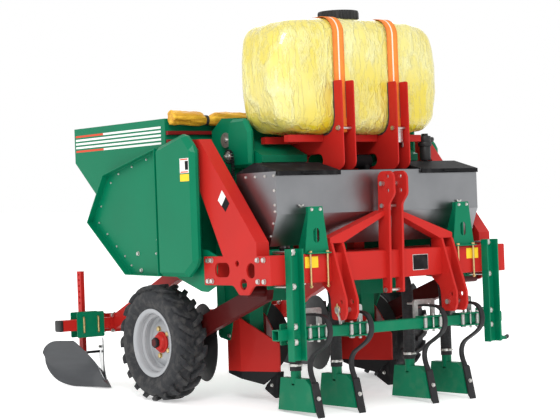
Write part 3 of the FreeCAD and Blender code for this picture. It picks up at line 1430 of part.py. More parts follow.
def make_frame_bolts():
    """Bolts through the side plates, the mast's spacer bolt and the cradles' cross bolts."""
    out = FreeCAD.Vector(1, 0, 0)
    half = amount("half_width")
    wall = amount("plate_wall")
    front = bolt(amount("bolt_radius"), 2 * wall, 4)
    rear = bolt(amount("bolt_radius"), 2 * wall + amount("flap_wall"), 4)
    bolts = []
    for y, z in bolt_rows():
        kind = rear if y.startswith("rear") else front
        for way in (1, -1):
            bolts.append(placed(kind, FreeCAD.Vector(way * half, amount(y), amount(z)), out * way))
    reach = amount("mast_gap / 2 + mast_plate")
    cross = bolt(amount("bolt_radius"), 2 * reach, 6)
    for y, z in (("15", "spacer_bolt_z"), ("8", "mast_foot + 16")):
        bolts.append(placed(cross, FreeCAD.Vector(reach, amount(y), amount(z)), out))
    inner = amount("cradle_inner - cradle_plate / 2")
    outer = amount("cradle_outer + cradle_plate / 2")
    tie = bolt(amount("bolt_radius"), outer - inner, 5)
    for y in ("cradle_front + 34", "2 * tank_y - cradle_front - 34"):
        for way in (1, -1):
            spot = FreeCAD.Vector(way * outer, amount(y), amount("strap_end - 10"))
            bolts.append(placed(tie, spot, out * way))
    keep_shape("frame_bolts", Part.makeCompound(bolts))


def make_clamp_bolts():
    """Plated bolts of the channels and tines, and the threaded rods of the box's feet."""
    forward = FreeCAD.Vector(0, -1, 0)
    up = FreeCAD.Vector(0, 0, 1)
    bolts = []
    heights = [amount(height) for height in channel_bolt_heights()]
    for side in ("channel_half", "-channel_half"):
        for i, height in enumerate(heights):
            depth = "beam_size" if i < 2 else "toolbar_size"
            grip = amount(f"channel_wall + {depth} + clamp_plate")
            kind = bolt(amount("bolt_radius"), grip, 6)
            bolts.append(placed(kind, FreeCAD.Vector(amount(side), -amount("channel_wall"), height), forward))
    grip = amount("toolbar_size + 2 * tine_clamp_thick")
    tall = bolt(5.5, grip, 8)
    top = amount("toolbar_bottom + toolbar_size + tine_clamp_thick")
    for side in TINES:
        for x, y in TINE_BOLTS[:2]:
            bolts.append(placed(tall, FreeCAD.Vector(amount(f"{side} + ({x})"), amount(y), top), up))
    for side in ("", "-"):
        for x in ("-60", "60"):
            rod = bolt(6, amount("beam_size + foot_plate + 14"), 12)
            spot = FreeCAD.Vector(
                amount(f"{side}bracket_half + ({x})"), -12, amount("beam_top + foot_plate")
            )
            bolts.append(placed(rod, spot, up))
    keep_shape("clamp_bolts", Part.makeCompound(bolts))


# ---------------------------------------------------------------- build and write
def build():
    fill_sheet()
    front_rows = [row for row in bolt_rows() if row[0].startswith("front")]
    rear_rows = [row for row in bolt_rows() if row[0].startswith("rear")]
    make_beam("front_beam", "0", "beam_size", "half_width - plate_wall", front_rows)
    make_beam(
        "rear_beam", "frame_depth - rear_beam_depth", "frame_depth",
        "half_width - plate_wall - flap_wall", rear_rows,
    )
    make_side_plates()
    make_frame_flaps()
    make_side_beams()
    make_mast_plates()
    make_mast_braces()
    make_hitch_plates()
    make_top_link_pin()
    make_lower_pins()
    make_channels()
    make_clamp_plates()
    make_toolbar()
    make_spring_tines()
    make_tine_points()
    make_tine_arches()
    make_tine_clamps()
    make_fert_boots()
    make_drop_hoses()
    make_fert_box()
    make_metering_shaft()
    make_fert_roof()
    make_fert_lids()
    make_fert_brackets()
    make_tank()
    make_tank_lid()
    make_tank_straps()
    make_cradle_plates()
    make_cradle_frame()
    make_pump()
    make_elevators()
    make_elevator_shaft()
    make_cup_belts()
    make_seed_hopper()
    make_tarp_roll()
    make_side_covers()
    for side in ("left", "right"):
        make_wheel(side)
    make_wheel_arms()
    make_openers()
    make_opener_shares()
    make_opener_hangers()
    for number, (centre, outward) in enumerate(DISCS, start=1):
        make_disc(number, centre, outward)
    make_disc_arms()
    make_rear_bar()
    make_rear_arms()
    make_ridger_clamps()
    for side in ("left", "right"):
        make_ridger_post(side)
        make_ridger_body(side)
    make_frame_bolts()
    make_clamp_bolts()
    doc.recompute()


def check():
    for item in doc.Objects:
        if "Invalid" in item.State or "Error" in item.State:
            raise RuntimeError(f"{item.Name} failed: {item.State}")
        if item.TypeId in ("PartDesign::Pocket", "PartDesign::Groove"):
            if item.Shape.Volume > item.BaseFeature.Shape.Volume - 1:
                raise RuntimeError(f"{item.Name} cuts nothing")
    for node in nodes:
        if node.Shape.isNull() or not node.Shape.isValid():
            raise RuntimeError(f"{node.Label} has no valid shape")


def write():
    os.makedirs("parts", exist_ok=True)
    for node in nodes:
        node.Shape.exportStep(f"parts/{node.Label}.step")


build()
check()
write()
print(f"{len(nodes)} sub-parts")
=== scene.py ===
import math
import bpy
from mathutils import Matrix, Vector


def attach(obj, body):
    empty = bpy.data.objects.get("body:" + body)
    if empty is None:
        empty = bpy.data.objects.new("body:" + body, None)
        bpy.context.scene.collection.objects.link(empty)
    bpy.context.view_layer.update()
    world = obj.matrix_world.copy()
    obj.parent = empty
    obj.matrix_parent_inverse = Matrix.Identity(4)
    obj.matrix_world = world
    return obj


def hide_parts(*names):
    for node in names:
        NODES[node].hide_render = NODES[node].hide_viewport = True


# A two-row tuber planter.  Places are given in the machine's own datum, in millimetres: X = 0 on
# the centre plane, Y = 0 on the front beam's face with +Y to the rear, Z = 0 under the tyres.

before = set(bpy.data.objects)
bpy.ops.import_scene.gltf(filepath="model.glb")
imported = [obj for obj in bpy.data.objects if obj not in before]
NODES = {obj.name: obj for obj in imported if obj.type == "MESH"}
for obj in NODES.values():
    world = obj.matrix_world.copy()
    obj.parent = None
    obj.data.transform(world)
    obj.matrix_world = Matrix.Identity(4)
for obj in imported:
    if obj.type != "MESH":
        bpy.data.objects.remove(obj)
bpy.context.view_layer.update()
TINES = (-569.5, -276, 276, 569.5)
SIDES = ((-1, "left"), (1, "right"))
WHEEL_X, WHEEL_Y, WHEEL_Z = 853, 1100, 338
ROW_X = 428
CHANNEL_X = 732
BRACKET_X = 550
STRAP_X = 203.5
REAR_ARM_X = 660
TANK_Y = 412


def at(x, y, z):
    """A place of the machine's datum, in the frame's metres."""
    return Vector((x, y - 1017.5, z + 59)) / 1000


# ---------------------------------------------------------------- finishes
class Flow:
    """A socket that carries numbers and takes part in sums."""

    def __init__(self, finish, socket):
        self.finish = finish
        self.socket = socket

    def math(self, operation, other=0.0, swap=False, clamp=False):
        pair = (other, self) if swap else (self, other)
        settings = {"operation": operation, "use_clamp": clamp}
        node = self.finish.node("ShaderNodeMath", settings, {0: pair[0], 1: pair[1]})
        return Flow(self.finish, node.outputs[0])

    def __add__(self, other):
        return self.math("ADD", other)

    def __radd__(self, other):
        return self.math("ADD", other)

    def __sub__(self, other):
        return self.math("SUBTRACT", other)

    def __rsub__(self, other):
        return self.math("SUBTRACT", other, swap=True)

    def __mul__(self, other):
        return self.math("MULTIPLY", other)

    def __rmul__(self, other):
        return self.math("MULTIPLY", other)

    def __truediv__(self, other):
        return self.math("DIVIDE", other)

    def over(self, level):
        return self.math("GREATER_THAN", level)

    def under(self, level):
        return self.math("LESS_THAN", level)

    def distance(self, level):
        return (self - level).math("ABSOLUTE")

    def ramp(self, low, high):
        """0 below low and 1 above high."""
        return ((self - low) / (high - low)).math("ADD", 0.0, clamp=True)


class Finish:
    """A material built round one Principled shader."""

    def __init__(self, name, colour, roughness, metallic=0.0, **fixed):
        self.material = bpy.data.materials.new(name)
        self.material.use_nodes = True
        self.material.diffuse_color = (*colour, 1)
        self.tree = self.material.node_tree
        self.shader = next(n for n in self.tree.nodes if n.type == "BSDF_PRINCIPLED")
        self.shader.inputs["Base Color"].default_value = (*colour, 1)
        self.shader.inputs["Roughness"].default_value = roughness
        self.shader.inputs["Metallic"].default_value = metallic
        for socket, value in fixed.items():
            self.shader.inputs[socket.replace("_", " ")].default_value = value
        self.place = self.node("ShaderNodeTexCoord").outputs["Object"]

    def node(self, kind, settings=None, values=None):
        node = self.tree.nodes.new(kind)
        for key, value in (settings or {}).items():
            if key == "stops":
                for stop, (spot, colour) in zip(node.color_ramp.elements, value):
                    stop.position = spot
                    stop.color = colour
            else:
                setattr(node, key, value)
        for key, value in (values or {}).items():
            if isinstance(value, Flow):
                self.tree.links.new(value.socket, node.inputs[key])
            elif isinstance(value, bpy.types.NodeSocket):
                self.tree.links.new(value, node.inputs[key])
            else:
                node.inputs[key].default_value = value
        return node

    def axis(self, name):
        parts = self.node("ShaderNodeSeparateXYZ", None, {0: self.place})
        return Flow(self, parts.outputs[name])

    def noise(self, scale, detail=3.0, stretch=(1, 1, 1), roughness=0.5):
        space = self.node("ShaderNodeMapping", None, {"Vector": self.place, "Scale": stretch})
        values = {"Vector": space.outputs[0], "Scale": scale, "Detail": detail, "Roughness": roughness}
        return Flow(self, self.node("ShaderNodeTexNoise", None, values).outputs[0])

    def cells(self, scale, stretch=(1, 1, 1)):
        space = self.node("ShaderNodeMapping", None, {"Vector": self.place, "Scale": stretch})
        node = self.node("ShaderNodeTexVoronoi", None, {"Vector": space.outputs[0], "Scale": scale})
        return node

    def mix(self, factor, first, second):
        """A colour between two colours."""
        node = self.node("ShaderNodeMix", {"data_type": "RGBA"}, {0: factor})
        for index, colour in ((6, first), (7, second)):
            if isinstance(colour, bpy.types.NodeSocket):
                self.tree.links.new(colour, node.inputs[index])
            else:
                node.inputs[index].default_value = (*colour, 1)
        return node.outputs[2]

    def feed(self, name, value):
        socket = value.socket if isinstance(value, Flow) else value
        self.tree.links.new(socket, self.shader.inputs[name])
        return self

    def bump(self, height, strength, distance):
        values = {"Height": height, "Strength": strength, "Distance": distance}
        return self.feed("Normal", self.node("ShaderNodeBump", None, values).outputs[0])


def shade(colour, amount):
    return tuple(min(1.0, c * amount) for c in colour)


def paint(name, colour, roughness=0.4, coat=0.06):
    """Sprayed enamel: faint mottle, orange peel and dust that gathers low down."""
    finish = Finish(
        name, colour, roughness, Coat_Weight=coat, Coat_Roughness=0.12, Specular_IOR_Level=0.12
    )
    mottle = finish.noise(3.5, 4.0)
    dust = finish.noise(14.0, 6.0).ramp(0.5, 0.8) * (1 - finish.axis("Z").ramp(0.1, 0.7)) * 0.10
    tone = finish.mix(mottle, shade(colour, 0.86), shade(colour, 1.1))
    finish.feed("Base Color", finish.mix(dust, tone, (0.30, 0.25, 0.19)))
    finish.feed("Roughness", mottle * 0.16 + (roughness - 0.08) + dust * 0.5)
    return finish.bump(finish.noise(420.0, 2.0) + finish.noise(16.0) * 0.8, 0.10, 0.0015)


RED = (0.47, 0.018, 0.014)
# Painted shade: the machine's red, darkened for the wheel arms, which sit in shadow under the beam.
RED_IN_PAINTED_SHADE = (0.075, 0.005, 0.005)
GREEN = (0.0, 0.165, 0.078)


def matt_black():
    finish = Finish("matt_black", (0.010, 0.010, 0.011), 0.7, Specular_IOR_Level=0.12)
    dust = finish.noise(18.0, 5.0)
    finish.feed("Base Color", finish.mix(dust.ramp(0.5, 0.8), (0.008, 0.008, 0.009), (0.03, 0.03, 0.03)))
    finish.feed("Roughness", dust * 0.2 + 0.6)
    return finish.bump(finish.noise(300.0), 0.1, 0.001)


def stainless_sheet():
    finish = Finish("stainless_sheet", (0.33, 0.335, 0.345), 0.34, 1.0)
    grain = finish.noise(40.0, 5.0, (0.6, 24, 24))
    smear = finish.noise(5.0, 4.0)
    finish.feed("Base Color", finish.mix(smear, (0.20, 0.205, 0.215), (0.30, 0.305, 0.315)))
    finish.feed("Roughness", grain * 0.18 + smear * 0.10 + 0.20)
    return finish.bump(grain + smear * 1.5, 0.10, 0.0012)


def plated(name, colour, roughness=0.3):
    finish = Finish(name, colour, roughness, 0.95)
    stain = finish.noise(60.0, 4.0)
    finish.feed("Base Color", finish.mix(stain.ramp(0.4, 0.75), colour, shade(colour, 0.62)))
    finish.feed("Roughness", stain * 0.25 + (roughness - 0.08))
    return finish.bump(stain, 0.08, 0.0006)


def mixed_plating():
    """Gold plating on the long rods beside the box brackets and bright plating elsewhere."""
    bright, gold = (0.62, 0.61, 0.58), (0.68, 0.50, 0.22)
    finish = Finish("mixed_plating", bright, 0.3, 0.95)
    rods = finish.axis("X").math("ABSOLUTE").distance(0.55).under(0.085) * finish.axis("Z").over(0.65)
    stain = finish.noise(60.0, 4.0)
    tone = finish.mix(rods, bright, gold)
    finish.feed("Base Color", finish.mix(stain.ramp(0.45, 0.8) * 0.5, tone, (0.28, 0.25, 0.20)))
    finish.feed("Roughness", stain * 0.25 + 0.22)
    return finish.bump(stain, 0.08, 0.0006)


def galvanised_steel():
    finish = Finish("galvanised_steel", (0.42, 0.43, 0.42), 0.5, 0.75)
    spangle = finish.cells(90.0)
    fleck = Flow(finish, spangle.outputs["Color"])
    finish.feed("Base Color", finish.mix(fleck, (0.33, 0.335, 0.33), (0.52, 0.525, 0.51)))
    finish.feed("Roughness", fleck * 0.2 + 0.4)
    return finish.bump(finish.noise(160.0, 4.0), 0.15, 0.0008)


def ploughed_steel():
    """Smooth painted blade steel with long rub marks."""
    finish = Finish("blade_steel", (0.020, 0.023, 0.028), 0.25, 0.1, Coat_Weight=0.7, Coat_Roughness=0.1)
    rub = finish.noise(7.0, 5.0, (1, 1, 5))
    finish.feed("Base Color", finish.mix(rub, (0.012, 0.014, 0.018), (0.030, 0.034, 0.040)))
    finish.feed("Roughness", rub * 0.2 + 0.22)
    return finish.bump(rub, 0.15, 0.002)


def forged_steel(name, colour, roughness=0.5):
    finish = Finish(name, colour, roughness, 0.0, Coat_Weight=0.05, Specular_IOR_Level=0.25)
    scale = finish.noise(38.0, 6.0)
    finish.feed("Base Color", finish.mix(scale.ramp(0.35, 0.8), colour, shade(colour, 1.9)))
    finish.feed("Roughness", scale * 0.3 + (roughness - 0.12))
    return finish.bump(scale + finish.noise(240.0) * 0.4, 0.22, 0.0015)


def tyre_rubber():
    finish = Finish("tyre_rubber", (0.020, 0.021, 0.024), 0.72, Specular_IOR_Level=0.3)
    scuff = finish.noise(22.0, 8.0, roughness=0.65)
    finish.feed("Base Color", finish.mix(scuff.ramp(0.46, 0.8), (0.018, 0.019, 0.022), (0.085, 0.082, 0.078)))
    finish.feed("Roughness", scuff * 0.3 + 0.52)
    return finish.bump(scuff + finish.noise(180.0, 3.0) * 0.5, 0.35, 0.002)


def soft_rubber(name, rings=0.0):
    finish = Finish(name, (0.02, 0.02, 0.022), 0.6, Specular_IOR_Level=0.25)
    grain = finish.noise(120.0, 3.0)
    finish.feed("Roughness", grain * 0.25 + 0.45)
    finish.feed("Base Color", finish.mix(grain, (0.014, 0.014, 0.016), (0.04, 0.04, 0.042)))
    height = (finish.axis("Z") * rings).math("SINE") if rings else grain
    return finish.bump(height, 0.5 if rings else 0.15, 0.003)


def wrapped_plastic():
    """Yellow moulding under a creased clear wrapping; its folds, patches and upper part are painted paler,
    partly the wrapping's milky whitening and partly painted highlight.
    """
    finish = Finish("wrapped_plastic", (0.80, 0.60, 0.06), 0.3, Coat_Weight=0.8, Coat_Roughness=0.06)
    wide = finish.noise(2.6, 4.0, (1.0, 1.0, 0.8), 0.5)
    crease = finish.noise(4.2, 5.0, (1.6, 1.6, 0.7), 0.55)
    thread = finish.noise(12.0, 4.0, (1.8, 1.8, 0.5), 0.55)
    fold = 1 - ((crease - 0.5).math("ABSOLUTE") * 16).math("MINIMUM", 1.0)
    line = 1 - ((thread - 0.5).math("ABSOLUTE") * 22).math("MINIMUM", 1.0)
    patch = wide.ramp(0.42, 0.66)
    lift = finish.axis("Z").ramp(1.55, 2.3)
    # Paler colour painted on the folds, crease lines, patches and towards the top: partly the film's milky
    # whitening, partly painted highlight.
    milk_and_painted_highlight = (fold * 0.24 + line * 0.12 + patch * 0.34 + lift * 0.18).math("MINIMUM", 0.85)
    body = finish.mix(wide, (0.62, 0.47, 0.004), (0.68, 0.57, 0.020))
    finish.feed("Base Color", finish.mix(milk_and_painted_highlight, body, (0.76, 0.76, 0.44)))
    finish.feed("Roughness", crease * 0.25 + 0.14)
    return finish.bump(wide * 1.8 + fold * 0.42 + line * 0.20, 0.9, 0.016)


def moulded_plastic(name, colour, roughness=0.45):
    finish = Finish(name, colour, roughness, Specular_IOR_Level=0.3)
    grain = finish.noise(300.0, 2.0)
    finish.feed("Roughness", grain * 0.2 + (roughness - 0.1))
    finish.feed("Base Color", finish.mix(finish.noise(9.0), shade(colour, 0.85), shade(colour, 1.2)))
    return finish.bump(grain, 0.12, 0.0006)


def strap_webbing():
    """Orange webbing with a pale thread along its middle."""
    finish = Finish("strap_webbing", (0.80, 0.20, 0.02), 0.75)
    side = finish.axis("X").math("ABSOLUTE").distance(0.2035)
    weft = (finish.axis("Z") * 1500 + finish.axis("Y") * 1500).math("SINE")
    thread = (finish.axis("X") * 2600).math("SINE") * weft
    edge = side.ramp(0.028, 0.034) * 0.35
    cloth = finish.mix(finish.noise(30.0, 4.0), (0.80, 0.17, 0.012), (0.92, 0.27, 0.03))
    lined = finish.mix(side.under(0.005) * 0.85, cloth, (0.85, 0.80, 0.70))
    finish.feed("Base Color", finish.mix(edge, lined, (0.35, 0.08, 0.01)))
    return finish.bump(thread, 0.4, 0.0012)


def tarp_cloth():
    finish = Finish("tarp_cloth", (0.80, 0.42, 0.02), 0.6, Coat_Weight=0.1)
    fold = finish.noise(14.0, 6.0, (0.35, 3, 3), 0.6)
    weave = (finish.axis("X") * 1800).math("SINE") * (finish.axis("Z") * 1800).math("SINE")
    # The fold noise is also the bump's height: the fold troughs are painted darker and the crests lighter,
    # painted shade and painted light along the folds.
    finish.feed("Base Color", finish.mix(fold.ramp(0.35, 0.65), (0.55, 0.24, 0.006), (0.90, 0.52, 0.03)))
    finish.feed("Roughness", fold * 0.3 + 0.4)
    return finish.bump(fold * 3.0 + weave * 0.15, 0.6, 0.006)


def opener_red():
    """Red opener housings whose lower edge is the black share steel."""
    finish = Finish("opener_red", RED, 0.4, Coat_Weight=0.06, Specular_IOR_Level=0.12)
    mottle = finish.noise(3.5, 4.0)
    share = finish.axis("Z").under(0.214)
    tone = finish.mix(mottle, shade(RED, 0.86), shade(RED, 1.1))
    finish.feed("Base Color", finish.mix(share, tone, (0.010, 0.010, 0.011)))
    finish.feed("Roughness", mottle * 0.2 + 0.3)
    return finish.bump(finish.noise(420.0, 2.0) + share * 0.6, 0.12, 0.002)


def hopper_green():
    """Green sheet with plain pale and red bands along each side, and dark red rails in front."""
    finish = Finish("hopper_green", GREEN, 0.4, Coat_Weight=0.06, Specular_IOR_Level=0.12)
    mottle = finish.noise(3.0, 4.0)
    tone = finish.mix(mottle, shade(GREEN, 0.86), shade(GREEN, 1.1))
    height = finish.axis("Z")
    along = finish.axis("Y")
    outside = finish.axis("X").math("ABSOLUTE").over(0.8785)
    span = outside * along.over(-0.015) * along.under(0.945)
    for level, red in ((1.650, True), (1.627, False), (1.604, False), (1.581, False), (1.558, True)):
        band = height.distance(level).under(0.0062) * span
        rear = along.over(0.62) if red else None
        ink = finish.mix(rear, (0.82, 0.83, 0.80), (0.62, 0.07, 0.03)) if red else (0.82, 0.83, 0.80)
        tone = finish.mix(band, tone, ink)
    rails = along.under(-0.0596) * height.over(1.49) * height.under(1.63)
    finish.feed("Base Color", finish.mix(rails, tone, (0.20, 0.012, 0.012)))
    finish.feed("Roughness", mottle * 0.16 + 0.30)
    return finish.bump(finish.noise(420.0, 2.0) + finish.noise(9.0) * 1.5, 0.12, 0.002)


def pale_floor():
    finish = Finish("pale_floor", (0.93, 0.93, 0.93), 0.9, Emission_Strength=0.4)
    finish.shader.inputs["Emission Color"].default_value = (1, 1, 1, 1)
    finish.feed("Base Color", finish.mix(finish.noise(2.0), (0.92, 0.92, 0.92), (0.94, 0.94, 0.94)))
    return finish


FINISH = {
    "red": paint("red_enamel", RED),
    # painted shade: the same red enamel made darker for the shadowed wheel arms
    "red_painted_shade": paint("red_enamel_painted_shade", RED_IN_PAINTED_SHADE, 0.5, 0.1),
    "green": paint("green_enamel", GREEN),
    "black": matt_black(),
    "silver": paint("silver_enamel", (0.36, 0.37, 0.385), 0.32, 0.3),
    "stainless": stainless_sheet(),
    "zinc": plated("bright_zinc", (0.66, 0.65, 0.62)),
    "gold": plated("passivated_zinc", (0.68, 0.52, 0.24), 0.34),
    "plating": mixed_plating(),
    "galvanised": galvanised_steel(),
    "forged": forged_steel("forged_black", (0.010, 0.010, 0.011), 0.5),
    "blade": ploughed_steel(),
    "tyre": tyre_rubber(),
    "rubber": soft_rubber("soft_rubber"),
    "hose": soft_rubber("ribbed_hose", 700.0),
    "tank": wrapped_plastic(),
    "plastic": moulded_plastic("black_plastic", (0.018, 0.018, 0.018)),
    "label_yellow": moulded_plastic("yellow_label", (0.85, 0.55, 0.02), 0.5),
    "label_white": moulded_plastic("white_label", (0.75, 0.75, 0.73), 0.5),
    "label_red": moulded_plastic("red_label", (0.65, 0.08, 0.03), 0.5),
    "webbing": strap_webbing(),
    "tarp": tarp_cloth(),
    "opener": opener_red(),
    "hopper": hopper_green(),
}

NODE_FINISH = {
    "red": "front_beam rear_beam side_plates side_beams mast_plates mast_braces hitch_plates cradle_plates"
    " cradle_frame rear_bar rear_arms ridger_post_left ridger_post_right",
    "red_painted_shade": "wheel_arms",
    "opener": "furrow_openers",
    "green": "frame_flaps channels clamp_plates toolbar tine_clamps fert_boots fert_brackets"
    " elevator_casings side_covers opener_hangers disc_arms ridger_clamps",
    "black": "fert_lid_left fert_lid_right fert_roof opener_shares pump",
    "silver": "rim_left rim_right",
    "stainless": "fert_box",
    "zinc": "top_link_pin lower_link_pin_left lower_link_pin_right metering_shaft elevator_shaft frame_bolts",
    "plating": "clamp_bolts",
    "galvanised": "tine_arches",
    "forged": "spring_tines tine_points covering_disc_1 covering_disc_2 covering_disc_3 covering_disc_4",
    "blade": "ridger_left ridger_right",
    "tyre": "tyre_left tyre_right",
    "rubber": "cup_belts",
    "hose": "drop_hoses",
    "tank": "tank",
    "plastic": "tank_lid",
    "webbing": "tank_straps",
    "tarp": "tarp_roll",
    "hopper": "seed_hopper",
}


def finish_nodes():
    for finish, names in NODE_FINISH.items():
        for name in names.split():
            node = NODES[name]
            node.data.materials.clear()
            node.data.materials.append(FINISH[finish].material)


# ---------------------------------------------------------------- modelling helpers
def clear():
    if bpy.context.object and bpy.context.object.mode != "OBJECT":
        bpy.ops.object.mode_set(mode="OBJECT")
    bpy.ops.object.select_all(action="DESELECT")


def pick(*pieces):
    clear()
    for piece in pieces:
        piece.select_set(True)
    bpy.context.view_layer.objects.active = pieces[0]


def settle(name):
    """Names the new primitive and moves its place into its mesh."""
    piece = bpy.context.object
    piece.name = name
    bpy.ops.object.transform_apply(location=True, rotation=True, scale=True)
    return piece


def modify(piece, kind, **settings):
    pick(piece)
    modifier = piece.modifiers.new(kind.title(), kind)
    for key, value in settings.items():
        setattr(modifier, key, value)
    bpy.ops.object.modifier_apply(modifier=modifier.name)
    return piece


def round_over(piece, radius, segments=2):
    return modify(
        piece, "BEVEL", width=radius / 1000, segments=segments, limit_method="ANGLE",
        angle_limit=math.radians(38), harden_normals=False,
    )


def smooth(piece, angle=40):
    pick(piece)
    bpy.ops.object.shade_smooth_by_angle(angle=math.radians(angle))
    return piece


def block(name, low, high, radius=0, segments=2):
    clear()
    a = at(*low)
    b = at(*high)
    bpy.ops.mesh.primitive_cube_add(size=1, location=(a + b) / 2, scale=b - a)
    piece = settle(name)
    if radius:
        round_over(piece, radius, segments)
        smooth(piece)
    return piece


def rod(name, start, end, radius, sides=32, edge=0):
    clear()
    a = at(*start)
    b = at(*end)
    turn = (b - a).to_track_quat("Z", "Y").to_euler()
    bpy.ops.mesh.primitive_cylinder_add(
        vertices=sides, radius=radius / 1000, depth=(b - a).length, location=(a + b) / 2, rotation=turn
    )
    piece = settle(name)
    if edge:
        round_over(piece, edge)
    return smooth(piece, 35)


def ring(name, centre, way, radius, thick, turns=48):
    """A round wire bent to a ring about a way."""
    clear()
    turn = Vector(way).to_track_quat("Z", "Y").to_euler()
    bpy.ops.mesh.primitive_torus_add(
        location=at(*centre), rotation=turn, major_radius=radius / 1000, minor_radius=thick / 1000,
        major_segments=turns, minor_segments=12,
    )
    return smooth(settle(name), 60)


def spots_on(axis, level, corners):
    orders = {
        "x": lambda a, u: (level, a, u),
        "y": lambda a, u: (a, level, u),
        "z": lambda a, u: (a, u, level),
    }
    return [at(*orders[axis](a, u)) for a, u in corners]


def plate(name, axis, level, thick, corners, radius=0, segments=2):
    """A flat plate with the given corners, pushed along an axis from a level."""
    clear()
    bpy.ops.mesh.primitive_circle_add(vertices=len(corners), radius=1, fill_type="NGON")
    piece = bpy.context.object
    piece.name = name
    for vertex, spot in zip(piece.data.vertices, spots_on(axis, level, corners)):
        vertex.co = spot
    push = [0.0, 0.0, 0.0]
    push["xyz".index(axis)] = thick / 1000
    bpy.ops.object.mode_set(mode="EDIT")
    bpy.ops.mesh.select_all(action="SELECT")
    bpy.ops.mesh.extrude_region_move(TRANSFORM_OT_translate={"value": push})
    bpy.ops.mesh.select_all(action="SELECT")
    bpy.ops.mesh.normals_make_consistent(inside=False)
    bpy.ops.object.mode_set(mode="OBJECT")
    if radius:
        round_over(piece, radius, segments)
        smooth(piece)
    return piece


def pick_faces(piece, wanted):
    """Selects, in edit mode, the faces whose normal and centre are wanted."""
    pick(piece)
    bpy.ops.object.mode_set(mode="EDIT")
    bpy.ops.mesh.select_all(action="DESELECT")
    bpy.ops.object.mode_set(mode="OBJECT")
    for face in piece.data.polygons:
        face.select = wanted(face)
    bpy.ops.object.mode_set(mode="EDIT")
    bpy.ops.mesh.select_mode(type="FACE")


def grid(name, across, along, shape):
    """A sheet of across by along cells whose points come from a shape of (u, v)."""
    clear()
    bpy.ops.mesh.primitive_grid_add(x_subdivisions=across, y_subdivisions=along, size=2)
    piece = bpy.context.object
    piece.name = name
    for vertex in piece.data.vertices:
        vertex.co = shape((vertex.co.x + 1) / 2, (vertex.co.y + 1) / 2)
    return piece


def face_outwards(piece):
    pick(piece)
    bpy.ops.object.mode_set(mode="EDIT")
    bpy.ops.mesh.select_all(action="SELECT")
    bpy.ops.mesh.remove_doubles(threshold=0.0001)
    bpy.ops.mesh.normals_make_consistent(inside=False)
    bpy.ops.object.mode_set(mode="OBJECT")
    return piece


def joined(name, pieces):
    pick(*pieces)
    if len(pieces) > 1:
        bpy.ops.object.join()
    piece = bpy.context.object
    piece.name = name
    return piece


def copies(name, model, moves):
    """Copies of a model, each with its own mesh, joined to one piece; the model goes."""
    made = []
    for move in moves:
        copy = model.copy()
        copy.data = model.data.copy()
        bpy.context.collection.objects.link(copy)
        copy.data.transform(move)
        made.append(copy)
    pick(model)
    bpy.ops.object.delete()
    return joined(name, made)


def mirrored(piece, name):
    """The same piece on the other side of the centre plane."""
    copy = piece.copy()
    copy.data = piece.data.copy()
    copy.name = name
    bpy.context.collection.objects.link(copy)
    copy.data.transform(Matrix.Diagonal((-1, 1, 1, 1)))
    copy.data.flip_normals()
    return copy


def done(piece, body, finish, slot=None):
    """Gives a piece its finish and the body it rides on."""
    piece.data.materials.clear()
    piece.data.materials.append(FINISH[finish].material)
    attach(piece, body)
    return piece


# ---------------------------------------------------------------- fasteners
def bolt_model(size):
    """A hexagon head on a washer, along +Z at the machine's datum, with a chamfered crown."""
    washer = rod("washer", (0, 0, 0), (0, 0, 2), size * 1.9, 24, 0.5)
    head = rod("head", (0, 0, 2), (0, 0, 2 + size * 1.2), size * 1.65, 6, 0.8)
    return joined("bolt_model", [washer, head])


def moved_to(spot, way):
    turn = Vector(way).to_track_quat("Z", "Y").to_matrix().to_4x4()
    home = Matrix.Translation(-at(0, 0, 0))
    return Matrix.Translation(at(*spot)) @ turn @ home


def bolts(name, size, spots, way, body, finish):
    model = bolt_model(size)
    piece = copies(name, model, [moved_to(spot, way) for spot in spots])
    return done(piece, body, finish)


# ---------------------------------------------------------------- tank
def make_tank():
    """The moulded tank with the creases of its wrapping pressed into the mesh."""
    body = block("tank_shell", (-624, 177, 1505), (624, 647, 2175))
    round_over(body, 106, 8)
    neck = rod("neck", (0, TANK_Y, 2120), (0, TANK_Y, 2214), 105, 64)
    tank = joined("wrapped_tank", [body, neck])
    modify(tank, "REMESH", mode="VOXEL", voxel_size=0.0095)
    modify(tank, "SMOOTH", factor=0.5, iterations=8)
    middle = at(0, TANK_Y, 1840)
    for vertex in tank.data.vertices:
        off = vertex.co - middle
        if off.z > 0.345:
            continue
        end = abs(off.x) / 0.624
        rise = off.z / 0.335
        off.x *= 1 - 0.085 * rise ** 2
        off.y *= 1 - 0.20 * end ** 3
        off.z *= 1 - 0.085 * end ** 3
        vertex.co = middle + off
    for size, depth in ((0.30, 0.010), (0.10, 0.0035)):
        creases = bpy.data.textures.new(f"creases_{size}", "MUSGRAVE")
        creases.musgrave_type = "RIDGED_MULTIFRACTAL"
        creases.noise_scale = size
        modify(
            tank, "DISPLACE", texture=creases, strength=depth / 2, mid_level=1.0,
            texture_coords="LOCAL",
        )
    pick(tank)
    bpy.ops.object.shade_smooth()
    done(tank, "frame", "tank")
    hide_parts("tank")
    ribs = []
    for i in range(30):
        turn = math.radians(12 * i)
        x, y = 117 * math.sin(turn), TANK_Y + 117 * math.cos(turn)
        ribs.append(rod("cap_rib", (x, y, 2180), (x, y, 2222), 3.5, 10, 0.8))
    done(joined("cap_ribs", ribs), "cap", "plastic")


def make_filter():
    """The suction filter under the tank's right end, with its fittings and cap nut."""
    x, y = 545, 300
    parts = [
        rod("filter_bowl", (x, y, 1352), (x, y, 1440), 33, 40, 5),
        rod("filter_collar", (x, y, 1436), (x, y, 1462), 42, 12, 3),
        rod("filter_head", (x, y, 1460), (x, y, 1498), 36, 40, 5),
        rod("filter_outlet", (x, y, 1478), (x + 62, y, 1478), 15, 24, 2),
        rod("filter_inlet", (x, y, 1496), (x, y, 1512), 20, 24, 1),
        rod("bowl_tap", (x, y, 1338), (x, y, 1354), 12, 8, 2),
    ]
    done(joined("suction_filter", parts), "frame", "plastic")


